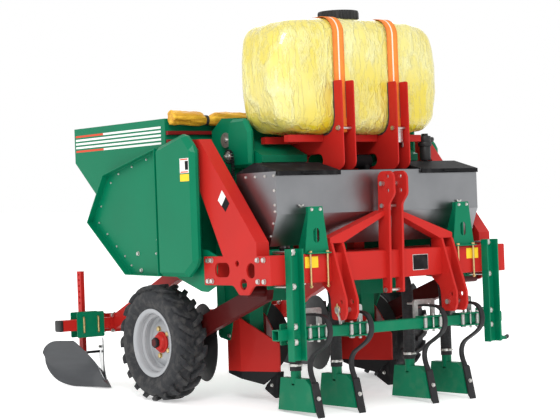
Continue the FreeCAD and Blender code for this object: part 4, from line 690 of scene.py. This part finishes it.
def make_strap_fittings():
    """A ratchet on the right strap, and the webbing's lower loops round the cross bolts."""
    parts = []
    for x in (-STRAP_X, STRAP_X):
        loop = block("strap_loop", (x - 34, 162, 1512), (x + 34, 176, 1560), 5, 3)
        parts.append(loop)
    done(joined("strap_loops", parts), "frame", "webbing")
    tube = rod("ratchet_drum", (168, 158, 1470), (239, 158, 1470), 11, 24, 1)
    side_a = block("ratchet_cheek_a", (172, 146, 1425), (175, 168, 1515), 2)
    side_b = block("ratchet_cheek_b", (232, 146, 1425), (235, 168, 1515), 2)
    lever = block("ratchet_lever", (178, 138, 1452), (229, 147, 1535), 3)
    done(joined("strap_ratchet", [tube, side_a, side_b, lever]), "frame", "zinc")


def make_cradle_edging():
    """Rubber edging round the cradle's seat, between each pair of plates and the tank."""
    route = [
        (176.4, 1800), (176.4, 1604), (186, 1560), (210, 1525), (240, 1508.5), (277, 1504.4),
    ]
    pieces = []
    for x in (-247, -160, 160, 247):
        for (y0, z0), (y1, z1) in zip(route, route[1:]):
            pieces.append(rod("edging", (x, y0 - 1.5, z0 - 1.5), (x, y1 - 1.5, z1 - 1.5), 6.5, 12))
    done(joined("cradle_edging", pieces), "frame", "rubber")


# ---------------------------------------------------------------- hopper's cover and side covers
def make_tarp():
    """A rolled tarpaulin, gathered where two cords tie it."""
    clear()
    bpy.ops.mesh.primitive_cylinder_add(
        vertices=72, radius=0.042, depth=1.74, location=at(0, 913.5, 1640), rotation=(0, math.pi / 2, 0)
    )
    roll = settle("rolled_tarpaulin")
    modify(roll, "REMESH", mode="VOXEL", voxel_size=0.008)
    ties = (-0.62, -0.2, 0.2, 0.62)
    middle = at(0, 913.5, 1640)
    for vertex in roll.data.vertices:
        x = vertex.co.x
        off = vertex.co - Vector((x, middle.y, middle.z))
        turn = math.atan2(off.z, off.y)
        pinch = max(math.exp(-((x - tie) / 0.035) ** 2) for tie in ties)
        fold = 0.07 * math.sin(3 * turn + 9 * x) + 0.05 * math.sin(7 * turn - 17 * x + 1.3)
        size = (1 + fold) * (1 - 0.42 * pinch) * (1 + 0.05 * math.sin(6.5 * x))
        lean = 0.006 * math.sin(5 * x + 0.4)
        vertex.co = Vector((x, middle.y + off.y * size, middle.z + off.z * size + lean - 0.012 * pinch))
    cloth = bpy.data.textures.new("tarp_folds", "CLOUDS")
    cloth.noise_scale = 0.05
    modify(roll, "DISPLACE", texture=cloth, strength=0.010, mid_level=0.8, texture_coords="LOCAL")
    pick(roll)
    bpy.ops.object.shade_smooth()
    done(roll, "frame", "tarp")
    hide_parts("tarp_roll")
    cords = []
    for x in ties:
        for step in (-6, 0, 6):
            cords.append(ring("tie", (x * 1000 + step, 913.5, 1628), (1, 0, 0), 27, 3.2, 28))
    done(joined("tarp_ties", cords), "frame", "rubber")


COVER_REAR = [
    (985, 728), (1344, 736), (1761, 1055), (1560, 1339), (985, 1468),
]
COVER_FRONT = [
    (600, 1449), (600, 800), (703, 723), (985, 728), (985, 1468), (690, 1540),
]


def make_side_covers():
    """Each cover: a raised front box with bevelled edges and a sunken rear panel inside a lip."""
    front = plate("cover_front", "x", 880, 70, COVER_FRONT)
    round_over(front, 26, 1)
    rear = plate("cover_rear", "x", 880, 66, COVER_REAR)
    outer = at(946, 0, 0).x
    pick_faces(rear, lambda face: face.normal.x > 0.9 and face.center.x > outer - 0.001)
    bpy.ops.mesh.inset(thickness=0.006, depth=0)
    bpy.ops.mesh.extrude_region_move(TRANSFORM_OT_translate={"value": (-0.044, 0, 0)})
    bpy.ops.object.mode_set(mode="OBJECT")
    round_over(rear, 2, 2)
    right = joined("chain_cover_right", [front, rear])
    left = mirrored(right, "chain_cover_left")
    done(right, "frame", "green")
    done(left, "frame", "green")
    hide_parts("side_covers")
    spots = [
        (1010, 1440), (1130, 1411), (1290, 1376), (1440, 1340), (1530, 1290), (1650, 1150),
        (1680, 1050), (1590, 980), (1490, 905), (1330, 790), (1400, 845), (1040, 1330), (1040, 1220),
        (1040, 1120), (1045, 940), (1060, 860),
    ]
    for side, name in ((1, "right"), (-1, "left")):
        small = [(side * 902, y, z) for y, z in spots]
        bolts(f"cover_bolts_{name}", 3.6, small, (side, 0, 0), "frame", "zinc")
        large = [(side * 902, 1255, 860), (side * 902, 1225, 760)]
        bolts(f"cover_pins_{name}", 7, large, (side, 0, 0), "frame", "zinc")


# ---------------------------------------------------------------- wheels
def lathe(name, profile, centre, steps=72):
    """Turns a closed profile of (along X, radius) about the X axis through a centre."""
    clear()
    bpy.ops.mesh.primitive_circle_add(vertices=len(profile), radius=1, fill_type="NOTHING")
    piece = bpy.context.object
    piece.name = name
    middle = at(*centre)
    for vertex, (x, r) in zip(piece.data.vertices, profile):
        vertex.co = middle + Vector((x / 1000, 0, r / 1000))
    bpy.ops.object.mode_set(mode="EDIT")
    bpy.ops.mesh.select_all(action="SELECT")
    bpy.ops.mesh.spin(steps=steps, angle=2 * math.pi, center=middle, axis=(1, 0, 0))
    bpy.ops.object.mode_set(mode="OBJECT")
    return face_outwards(piece)


def lug_shape(centre, side):
    """A curved tread bar from the crown's middle over the shoulder, on one side of the tyre."""
    middle = at(*centre)

    def shape(u, v):
        x = 3 + 92 * u
        lead = 0.02 + 0.20 * u ** 1.35
        width = (30 + 20 * u) / 2 * (1 - 0.2 * u ** 6)
        height = 339 if x < 66 else 339 - 0.022 * (x - 66) ** 2
        turn = lead + (v - 0.5) * 2 * width / 339
        x = min(x, 94.5)
        return middle + Vector((side * x, math.sin(turn) * height, math.cos(turn) * height)) / 1000

    return shape


def make_tyre(side, name):
    centre = (side * WHEEL_X, WHEEL_Y, WHEEL_Z)
    profile = [
        (-69, 179), (-60, 178), (60, 178), (69, 179), (71, 196), (76, 206), (86, 222), (93, 244),
        (95, 262), (93, 280), (87, 296), (76, 309), (62, 316), (30, 319), (0, 320), (-30, 319),
        (-62, 316), (-76, 309), (-87, 296), (-93, 280), (-95, 262), (-93, 244), (-86, 222), (-76, 206),
        (-71, 196),
    ]
    casing = smooth(lathe("casing", profile, centre, 96), 50)
    parts = [casing]
    for way, start in ((1, 0.0), (-1, math.pi / 20)):
        lug = grid("lug", 10, 3, lug_shape(centre, way))
        modify(lug, "SOLIDIFY", thickness=0.030, offset=-1 if way > 0 else 1)
        face_outwards(lug)
        round_over(lug, 3.5, 2)
        home = Matrix.Translation(at(*centre))
        turns = [
            home @ Matrix.Rotation(start + i * math.pi / 10, 4, "X") @ home.inverted() for i in range(20)
        ]
        parts.append(smooth(copies("lugs", lug, turns), 35))
    for hand in (-1, 1):
        for radius in (232, 270):
            x = centre[0] + hand * (88 + (radius - 232) / 8)
            parts.append(ring("sidewall_rib", (x, WHEEL_Y, WHEEL_Z), (1, 0, 0), radius, 2.2, 96))
    tyre = joined(f"lugged_tyre_{name}", parts)
    done(tyre, f"wheel_{name}", "tyre")
    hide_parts(f"tyre_{name}")


def make_rim(side, name):
    """A deep rim: outer well, drop centre, dished disc set inwards, and its painted hub."""
    centre = (side * WHEEL_X, WHEEL_Y, WHEEL_Z)

    def face(profile):
        return [(side * x, r) for x, r in profile]

    well = face([
        (79, 199), (76, 200.5), (73, 199), (72, 184), (69, 177.5), (40, 175), (28, 158), (-28, 158),
        (-40, 175), (-69, 177.5), (-72, 184), (-73, 199), (-76, 200.5), (-79, 199), (-77, 180),
        (-70, 173), (-42, 171), (-30, 153.5), (30, 153.5), (42, 171), (70, 173), (77, 180),
    ])
    disc = face([
        (-6, 154.5), (-14, 140), (2, 118), (6, 96), (4, 70), (4, 24), (-2, 24), (-2, 70), (0, 96),
        (-4, 116), (-20, 138), (-14, 156),
    ])
    parts = [lathe("well", well, centre, 96), lathe("disc", disc, centre, 96)]
    for offset, radius in ((74, 190), (44, 168), (20, 155)):
        for hand in (-1, 1):
            x = centre[0] + hand * offset
            parts.append(ring("bead", (x, WHEEL_Y, WHEEL_Z), (1, 0, 0), radius, 3, 72))
    rim = joined("rim", parts)
    smooth(rim, 45)
    rim.name = f"wheel_rim_{name}"
    done(rim, f"wheel_{name}", "silver")
    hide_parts(f"rim_{name}")
    hub = face([
        (-56, 24), (-56, 46), (4.5, 50), (4.5, 62), (14, 62), (18, 53), (34, 47), (40, 41), (42, 34),
        (42, 24),
    ])
    drum = smooth(lathe(f"wheel_hub_{name}", hub, centre, 64), 35)
    done(drum, f"wheel_{name}", "red")
    nut = rod(f"axle_nut_{name}", (side * 896, WHEEL_Y, WHEEL_Z), (side * 917, WHEEL_Y, WHEEL_Z), 31, 6, 2)
    done(nut, "frame", "forged")
    spots = []
    for i in range(5):
        turn = math.radians(72 * i + 20)
        spots.append((centre[0] + side * 4, WHEEL_Y + 82 * math.sin(turn), WHEEL_Z + 82 * math.cos(turn)))
    bolts(f"wheel_studs_{name}", 9, spots, (side, 0, 0), f"wheel_{name}", "gold")


# ---------------------------------------------------------------- ridgers and rear bar
def wing_shape(side, hand):
    """The mouldboard's face: u from the share back to the wing's end, v from bottom to top."""

    def shape(u, v):
        low = 38 + 8 * u + 210 * max(0.0, u - 0.5) ** 1.6
        high = 120 + 205 * min(1.0, 2.2 * u) ** 0.75
        end = max(0.0, (u - 0.72) / 0.28)
        middle = (low + high) / 2
        squeeze = math.sqrt(max(0.0, 1 - end ** 2.4 * 0.9))
        low = middle + (low - middle) * squeeze
        high = middle + (high - middle) * squeeze
        z = low + (high - low) * v
        curl = 34 * math.sin(math.pi * (v * 0.8 + 0.1)) * (0.25 + 0.75 * u)
        x = WHEEL_X + hand * (6 + 200 * u ** 0.95 + 20 * v * u - curl * 0.5)
        y = 1722 + 60 * v * (1 - u) + 416 * u + curl * 0.3
        x = min(max(x, WHEEL_X - 219), WHEEL_X + 219)
        return at(side * x, min(y, 2146), max(z, 40))

    return shape


def make_ridger(side, name):
    wings = []
    for hand in (1, -1):
        wing = grid("wing", 28, 14, wing_shape(side, hand))
        modify(wing, "SOLIDIFY", thickness=0.006, offset=0)
        face_outwards(wing)
        wings.append(smooth(wing, 50))
    outline = [(1692, 37), (1790, 37), (1860, 60), (1835, 112), (1760, 84)]
    share = plate("share", "x", side * WHEEL_X - 34, 68, outline)
    for vertex in share.data.vertices:
        local = (vertex.co.y - at(0, 1692, 0).y) / 0.17
        middle = side * 0.853
        vertex.co.x = middle + (vertex.co.x - middle) * min(1.0, 0.12 + local)
    round_over(share, 2, 1)
    frog = plate(
        "frog", "x", side * WHEEL_X - 12, 24,
        [
            (1770, 70), (1900, 70), (2000, 140), (2034, 249), (1990, 249), (1940, 200), (1850, 160),
            (1775, 120),
        ],
    )
    round_over(frog, 3, 2)
    brace_a = rod("brace_a", (side * WHEEL_X - 150, 2065, 235), (side * WHEEL_X + 150, 2065, 235), 9, 16)
    ridger = joined(f"ridging_body_{name}", wings + [share, frog, brace_a])
    done(ridger, f"ridging_{name}", "blade")
    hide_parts(f"ridger_{name}")
    spots = [(side * WHEEL_X + hand * 178, 2108, 262) for hand in (-1, 1)]
    bolts(f"wing_bolts_{name}", 5, spots, (0, -1, 0), f"ridging_{name}", "zinc")


def make_rear_fittings():
    caps = [block("bar_cap", (s * 1046 - 22, 1914, 384), (s * 1046 + 2, 1986, 456), 8, 3) for s in (-1, 1)]
    done(joined("bar_caps", caps), "frame", "plastic")
    loops = []
    nuts = []
    for side in (-1, 1):
        for step in (-52, 52):
            x = side * WHEEL_X + step
            loops.append(block("u_bolt_front", (x - 6, 1896, 374), (x + 6, 1908, 466), 5, 3))
            for z in (374, 466):
                loops.append(rod("u_bolt_leg", (x, 1902, z), (x, 2008, z), 6, 16))
                nuts.append((x, 1990, z))
    done(joined("u_bolts", loops), "frame", "gold")
    bolts("u_bolt_nuts", 7, nuts, (0, 1, 0), "frame", "gold")
    corners = [
        (s * REAR_ARM_X + dx, 1903, z) for s in (-1, 1) for dx in (-38, 38) for z in (372, 468)
    ]
    bolts("rear_arm_bolts", 7, corners, (0, -1, 0), "frame", "zinc")
    backs = [(x, 1997, z) for x, y, z in corners]
    bolts("rear_arm_nuts", 7, backs, (0, 1, 0), "frame", "zinc")


# ---------------------------------------------------------------- labels and small fittings
def make_labels():
    """Plain colour plates where a machine carries its notices, with nothing written on them."""
    notices = [
        block("notice_left", (-640, -0.9, 762), (-548, 0.4, 823), 0.3, 1),
        block("notice_right", (566, -0.9, 762), (660, 0.4, 823), 0.3, 1),
    ]
    done(joined("beam_notices", notices), "frame", "label_yellow")
    data = block("data_plate", (146, -1.4, 716), (258, 0.4, 800), 1, 2)
    done(data, "frame", "black")
    edge = block("data_plate_edge", (143, -1.0, 713), (261, 0.2, 803), 1, 2)
    done(edge, "frame", "zinc")
    whites = []
    yellows = []
    reds = []
    darks = []
    for side in (-1, 1):
        near, far = sorted((side * 949.6, side * 951.0))
        top, low = sorted((side * 950.2, side * 951.5))
        whites.append(block("cover_notice", (near, 628, 1312), (far, 716, 1396), 0.3, 1))
        yellows.append(block("cover_warning", (near, 628, 1266), (far, 716, 1306), 0.3, 1))
        reds.append(block("notice_mark", (top, 636, 1386), (low, 708, 1393), 0.2, 1))
        reds.append(block("notice_mark", (top, 636, 1315), (low, 708, 1322), 0.2, 1))
        darks.append(block("notice_mark", (top, 632, 1330), (low, 664, 1380), 0.2, 1))
        face = side * 876 if side > 0 else -877.4
        upper = [(419, 1205), (460, 1151), (426, 1118), (385, 1168)]
        lower = [(385, 1168), (426, 1118), (392, 1085), (352, 1130)]
        whites.append(plate("beam_notice", "x", face, 1.4, upper, 0.3, 1))
        darks.append(plate("beam_notice", "x", face, 1.4, lower, 0.3, 1))
    done(joined("cover_notices", whites), "frame", "label_white")
    done(joined("cover_warnings", yellows), "frame", "label_yellow")
    done(joined("cover_notice_marks", reds), "frame", "label_red")
    done(joined("dark_notice_marks", darks), "frame", "black")


def make_hose_clamps():
    """Worm-drive bands that grip the drop hoses on the boots' necks."""
    parts = []
    for x in TINES:
        band = rod("band", (x, 207, 214), (x, 207, 228), 34.6, 40, 0.6)
        screw = rod("worm", (x - 16, 170, 221), (x + 16, 170, 221), 6, 12, 1)
        parts += [band, screw]
    done(joined("hose_bands", parts), "frame", "zinc")


TINE_ROUTE = (
    (122, 505), (60, 505), (0, 504), (-50, 499), (-89, 475), (-108, 430), (-103, 387), (-71, 346),
    (-10, 309), (42, 280), (70, 245), (76, 205), (66, 165), (53.4, 140), (44.2, 100), (32.7, 50),
    (21.2, 0), (10.8, -45),
)


def along_route(route, share):
    """A point of a smooth line through the route's points."""
    spot = share * (len(route) - 1)
    i = min(int(spot), len(route) - 2)
    u = spot - i
    a, b, c, d = (Vector(route[min(max(k, 0), len(route) - 1)]) for k in (i - 1, i, i + 1, i + 2))
    return (2 * b + (c - a) * u + (2 * a - 5 * b + 4 * c - d) * u ** 2 + (3 * b - a - 3 * c + d) * u ** 3) / 2


def make_tines():
    """Four flat spring steel tines, each looped forwards over the toolbar."""

    def shape(u, v):
        y, z = along_route(TINE_ROUTE, v)
        return at(16 - 32 * u, y, z)

    tine = grid("tine", 3, 90, shape)
    modify(tine, "SOLIDIFY", thickness=0.0138, offset=0)
    face_outwards(tine)
    round_over(tine, 3, 2)
    smooth(tine)
    tines = copies("looped_tines", tine, [Matrix.Translation((x / 1000, 0, 0)) for x in TINES])
    done(tines, "frame", "forged")
    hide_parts("spring_tines")


def make_point_bolts():
    spots = [(x, 14 + 0.23 * 45 - 11, 45) for x in TINES]
    bolts("point_bolts", 6.5, spots, (0, -0.974, 0.224), "frame", "zinc")


def make_clamp_straps():
    """Cast saddles and threaded studs that clamp each tine's arch to the toolbar."""
    saddles = []
    studs = []
    for x in TINES:
        for dx in (-58, 58):
            saddles.append(block("saddle", (x + dx - 11, -12.5, 366), (x + dx + 11, -1, 450), 3, 2))
            saddles.append(block("saddle_toe", (x + dx - 14, -19, 362), (x + dx + 14, 1, 372), 3, 2))
        studs.append(rod("stud", (x, -10, 356), (x, -10, 456), 5, 14))
        for z in (358, 451):
            studs.append(rod("stud_nut", (x, -10, z), (x, -10, z + 8), 9, 6))
    done(joined("clamp_saddles", saddles), "frame", "galvanised")
    done(joined("clamp_studs", studs), "frame", "zinc")


def make_channel_fittings():
    """Square washers on the channels and the winding handle at the right channel's foot."""
    squares = []
    for side in (-1, 1):
        x = side * CHANNEL_X
        for z in (852, 666, 450, 366):
            squares.append(block("square_washer", (x - 17, -12, z - 17), (x + 17, -8, z + 17), 1))
    done(joined("square_washers", squares), "frame", "zinc")
    gusset = plate("foot_gusset", "x", 777, 6, [(0, 268), (0, 400), (-50, 400), (-50, 268)], 1)
    foot = plate("foot_arm", "y", -6, 6, [(777, 400), (777, 268), (862, 268), (862, 286), (800, 300)], 1)
    done(joined("channel_foot", [gusset, foot]), "frame", "green")
    crank = [
        rod("crank_arm", (850, -3, 277), (905, 40, 277), 7, 20),
        rod("crank_knob", (900, 36, 277), (960, 84, 277), 13, 24, 6),
    ]
    done(joined("foot_crank", crank), "frame", "plastic")


def make_linch_pins():
    """Sprung linch pins and their wires on the lower-link pins."""
    for side, name in SIDES:
        x = side * 466
        parts = [
            rod("linch", (x, -50, 493), (x, -50, 560), 3.5, 14),
            ring("linch_ring", (x, -50, 528), (1, 0, 0), 21, 2.2, 36),
        ]
        done(joined(f"linch_pin_{name}", parts), f"lower_pin_{name}", "gold")


def make_box_fittings():
    """Bolts round the fertiliser box's ends and a clamp strip at its seam."""
    for side, name in SIDES:
        spots = [(side * 753, 100, z) for z in (1270, 1190, 1110, 1075)]
        spots += [(side * 753, y, 1270) for y in (180, 270, 360)]
        spots += [(side * 753, y, z) for y, z in ((120, 1010), (148, 940), (266, 900), (400, 1000))]
        bolts(f"box_bolts_{name}", 4.5, spots, (side, 0, 0), "frame", "zinc")
    seam = [
        block("seam", (-752, 83.4, 1058), (752, 85.5, 1064), 0.5, 1),
        block("rim_fold", (-754, 83, 1286), (-302, 85.4, 1294), 0.6, 1),
        block("rim_fold", (302, 83, 1286), (754, 85.4, 1294), 0.6, 1),
    ]
    done(joined("box_folds", seam), "frame", "stainless")
    nuts = []
    for x in (-593, 593):
        nuts.append(rod("wing_nut_boss", (x, 85, 1098), (x, 70, 1098), 6, 20, 1))
        for hand in (-1, 1):
            wing = [(x, 1094), (x + hand * 16, 1100), (x + hand * 20, 1108), (x + hand * 13, 1111), (x, 1102)]
            nuts.append(plate("wing_nut_blade", "y", 72, 3, wing, 0.8, 2))
    done(joined("wing_nuts", nuts), "frame", "zinc")
    face = [(s * BRACKET_X + dx, 1.6, z) for s in (-1, 1) for dx, z in ((-30, 1080), (30, 1080))]
    bolts("bracket_bolts", 5, face, (0, -1, 0), "frame", "zinc")


def make_elevator_details():
    """Raised chain guards, cover bolts and tensioner on the elevator casings."""
    guards = []
    wheels = []
    links = []
    outline = [
        (486, 1334), (668, 1334), (690, 1360), (690, 1560), (664, 1614), (520, 1614), (474, 1540),
        (474, 1356),
    ]
    for side in (-1, 1):
        x = side * 590
        guards.append(plate("chain_guard", "x", min(x, x + side * 46), 46, outline))
        out = side * 662
        wheels.append(rod("sprocket", (out - 4, 640, 1400), (out + 4, 640, 1400), 34, 18, 1))
        wheels.append(rod("sprocket_boss", (out - 16, 640, 1400), (out + 16, 640, 1400), 17, 24, 2))
        wheels.append(rod("sprocket_shaft", (side * 620, 640, 1400), (side * 694, 640, 1400), 9, 20, 1))
        for i in range(14):
            turn = math.radians(360 * i / 14)
            y = 640 + 37 * math.sin(turn)
            z = 1400 + 37 * math.cos(turn)
            links.append(rod("roller", (out - 8, y, z), (out + 8, y, z), 5, 10))
        for i in range(11):
            links.append(rod("roller", (out - 8, 603, 1392 - 16 * i), (out + 8, 603, 1392 - 16 * i), 5, 10))
            links.append(block("link", (out + 6, 599, 1378 - 16 * i), (out + 8, 607, 1394 - 16 * i), 0.6, 1))
            links.append(block("link", (out - 8, 599, 1378 - 16 * i), (out - 6, 607, 1394 - 16 * i), 0.6, 1))
    round_over(joined("drive_guards", guards), 20, 1)
    done(bpy.context.object, "frame", "green")
    done(joined("drive_sprockets", wheels), "frame", "zinc")
    done(joined("drive_chain", links), "frame", "forged")
    rows = ((640, 1360), (640, 1150), (640, 900), (640, 700), (880, 1360), (880, 1100))
    for side, name in SIDES:
        near = [(side * 590, y, z) for y, z in rows]
        bolts(f"casing_bolts_{name}", 5, near, (side, 0, 0), "frame", "zinc")


def make_opener_bolts():
    for side, name in SIDES:
        row = side * ROW_X
        spots = []
        for hand in (-1, 1):
            spots += [(row + hand * 108, y, z) for y, z in ((880, 470), (870, 360), (930, 420))]
        outer = [spot for spot in spots if spot[0] > row]
        inner = [spot for spot in spots if spot[0] < row]
        bolts(f"hanger_bolts_out_{name}", 7, outer, (1, 0, 0), "frame", "zinc")
        bolts(f"hanger_bolts_in_{name}", 7, inner, (-1, 0, 0), "frame", "zinc")
        ends = [(row + hand * 20, 590, 78) for hand in (-1, 1)]
        bolts(f"share_bolt_a_{name}", 6, ends[:1], (-1, 0, 0), "frame", "zinc")
        bolts(f"share_bolt_b_{name}", 6, ends[1:], (1, 0, 0), "frame", "zinc")


# ---------------------------------------------------------------- stage
def make_stage():
    """A pale floor under tyres and tines, which stand on one slightly tilted plane."""
    slope = math.atan2(0.057, 1.109)
    clear()
    bpy.ops.mesh.primitive_circle_add(vertices=96, radius=30, fill_type="NGON")
    floor = bpy.context.object
    floor.name = "floor"
    turn = Matrix.Rotation(slope, 4, "X")
    floor.data.transform(Matrix.Translation(at(0, -9, -59.5)) @ turn)
    floor.data.materials.append(pale_floor().material)
    bpy.context.scene.view_settings.view_transform = "Standard"
    world = bpy.data.worlds.new("studio")
    bpy.context.scene.world = world
    world.use_nodes = True
    back = next(n for n in world.node_tree.nodes if n.type == "BACKGROUND")
    back.inputs[0].default_value = (1, 1, 1, 1)
    back.inputs[1].default_value = 1.0
    lights = (
        ("key", (-5200, -5200, 6200), 3.0, 330),
        ("side", (-7000, 1500, 3200), 4.0, 25),
        ("rear", (4200, 6000, 4800), 5.0, 120),
    )
    for name, spot, size, power in lights:
        clear()
        way = at(0, 900, 900) - at(*spot)
        bpy.ops.object.light_add(
            type="AREA", location=at(*spot), rotation=way.to_track_quat("-Z", "Y").to_euler()
        )
        lamp = bpy.context.object
        lamp.name = f"{name}_light"
        lamp.data.shape = "DISK"
        lamp.data.size = size
        lamp.data.energy = power


def make_camera():
    yaw = math.radians(37.47)
    pitch = math.radians(0.25)
    roll = math.radians(-2.13)
    forward = Vector((math.sin(yaw) * math.cos(pitch), math.cos(yaw) * math.cos(pitch), math.sin(pitch)))
    right = Vector((math.cos(yaw), -math.sin(yaw), 0))
    up = right.cross(forward)
    across = right * math.cos(roll) + up * math.sin(roll)
    rise = up * math.cos(roll) - right * math.sin(roll)
    clear()
    bpy.ops.object.camera_add()
    camera = bpy.context.object
    camera.matrix_world = Matrix.Translation(at(-6390.1, -7297.1, 1042.5)) @ Matrix(
        (across, rise, -forward)
    ).transposed().to_4x4()
    camera.data.lens = 109.97
    camera.data.sensor_width = 36
    camera.data.clip_end = 200
    bpy.context.scene.camera = camera


finish_nodes()
make_tank()
make_filter()
make_strap_fittings()
make_cradle_edging()
make_tarp()
make_side_covers()
for side, name in SIDES:
    make_tyre(side, name)
    make_rim(side, name)
    make_ridger(side, name)
make_rear_fittings()
make_labels()
make_hose_clamps()
make_tines()
make_point_bolts()
make_clamp_straps()
make_channel_fittings()
make_linch_pins()
make_box_fittings()
make_elevator_details()
make_opener_bolts()
make_stage()
make_camera()
clear()
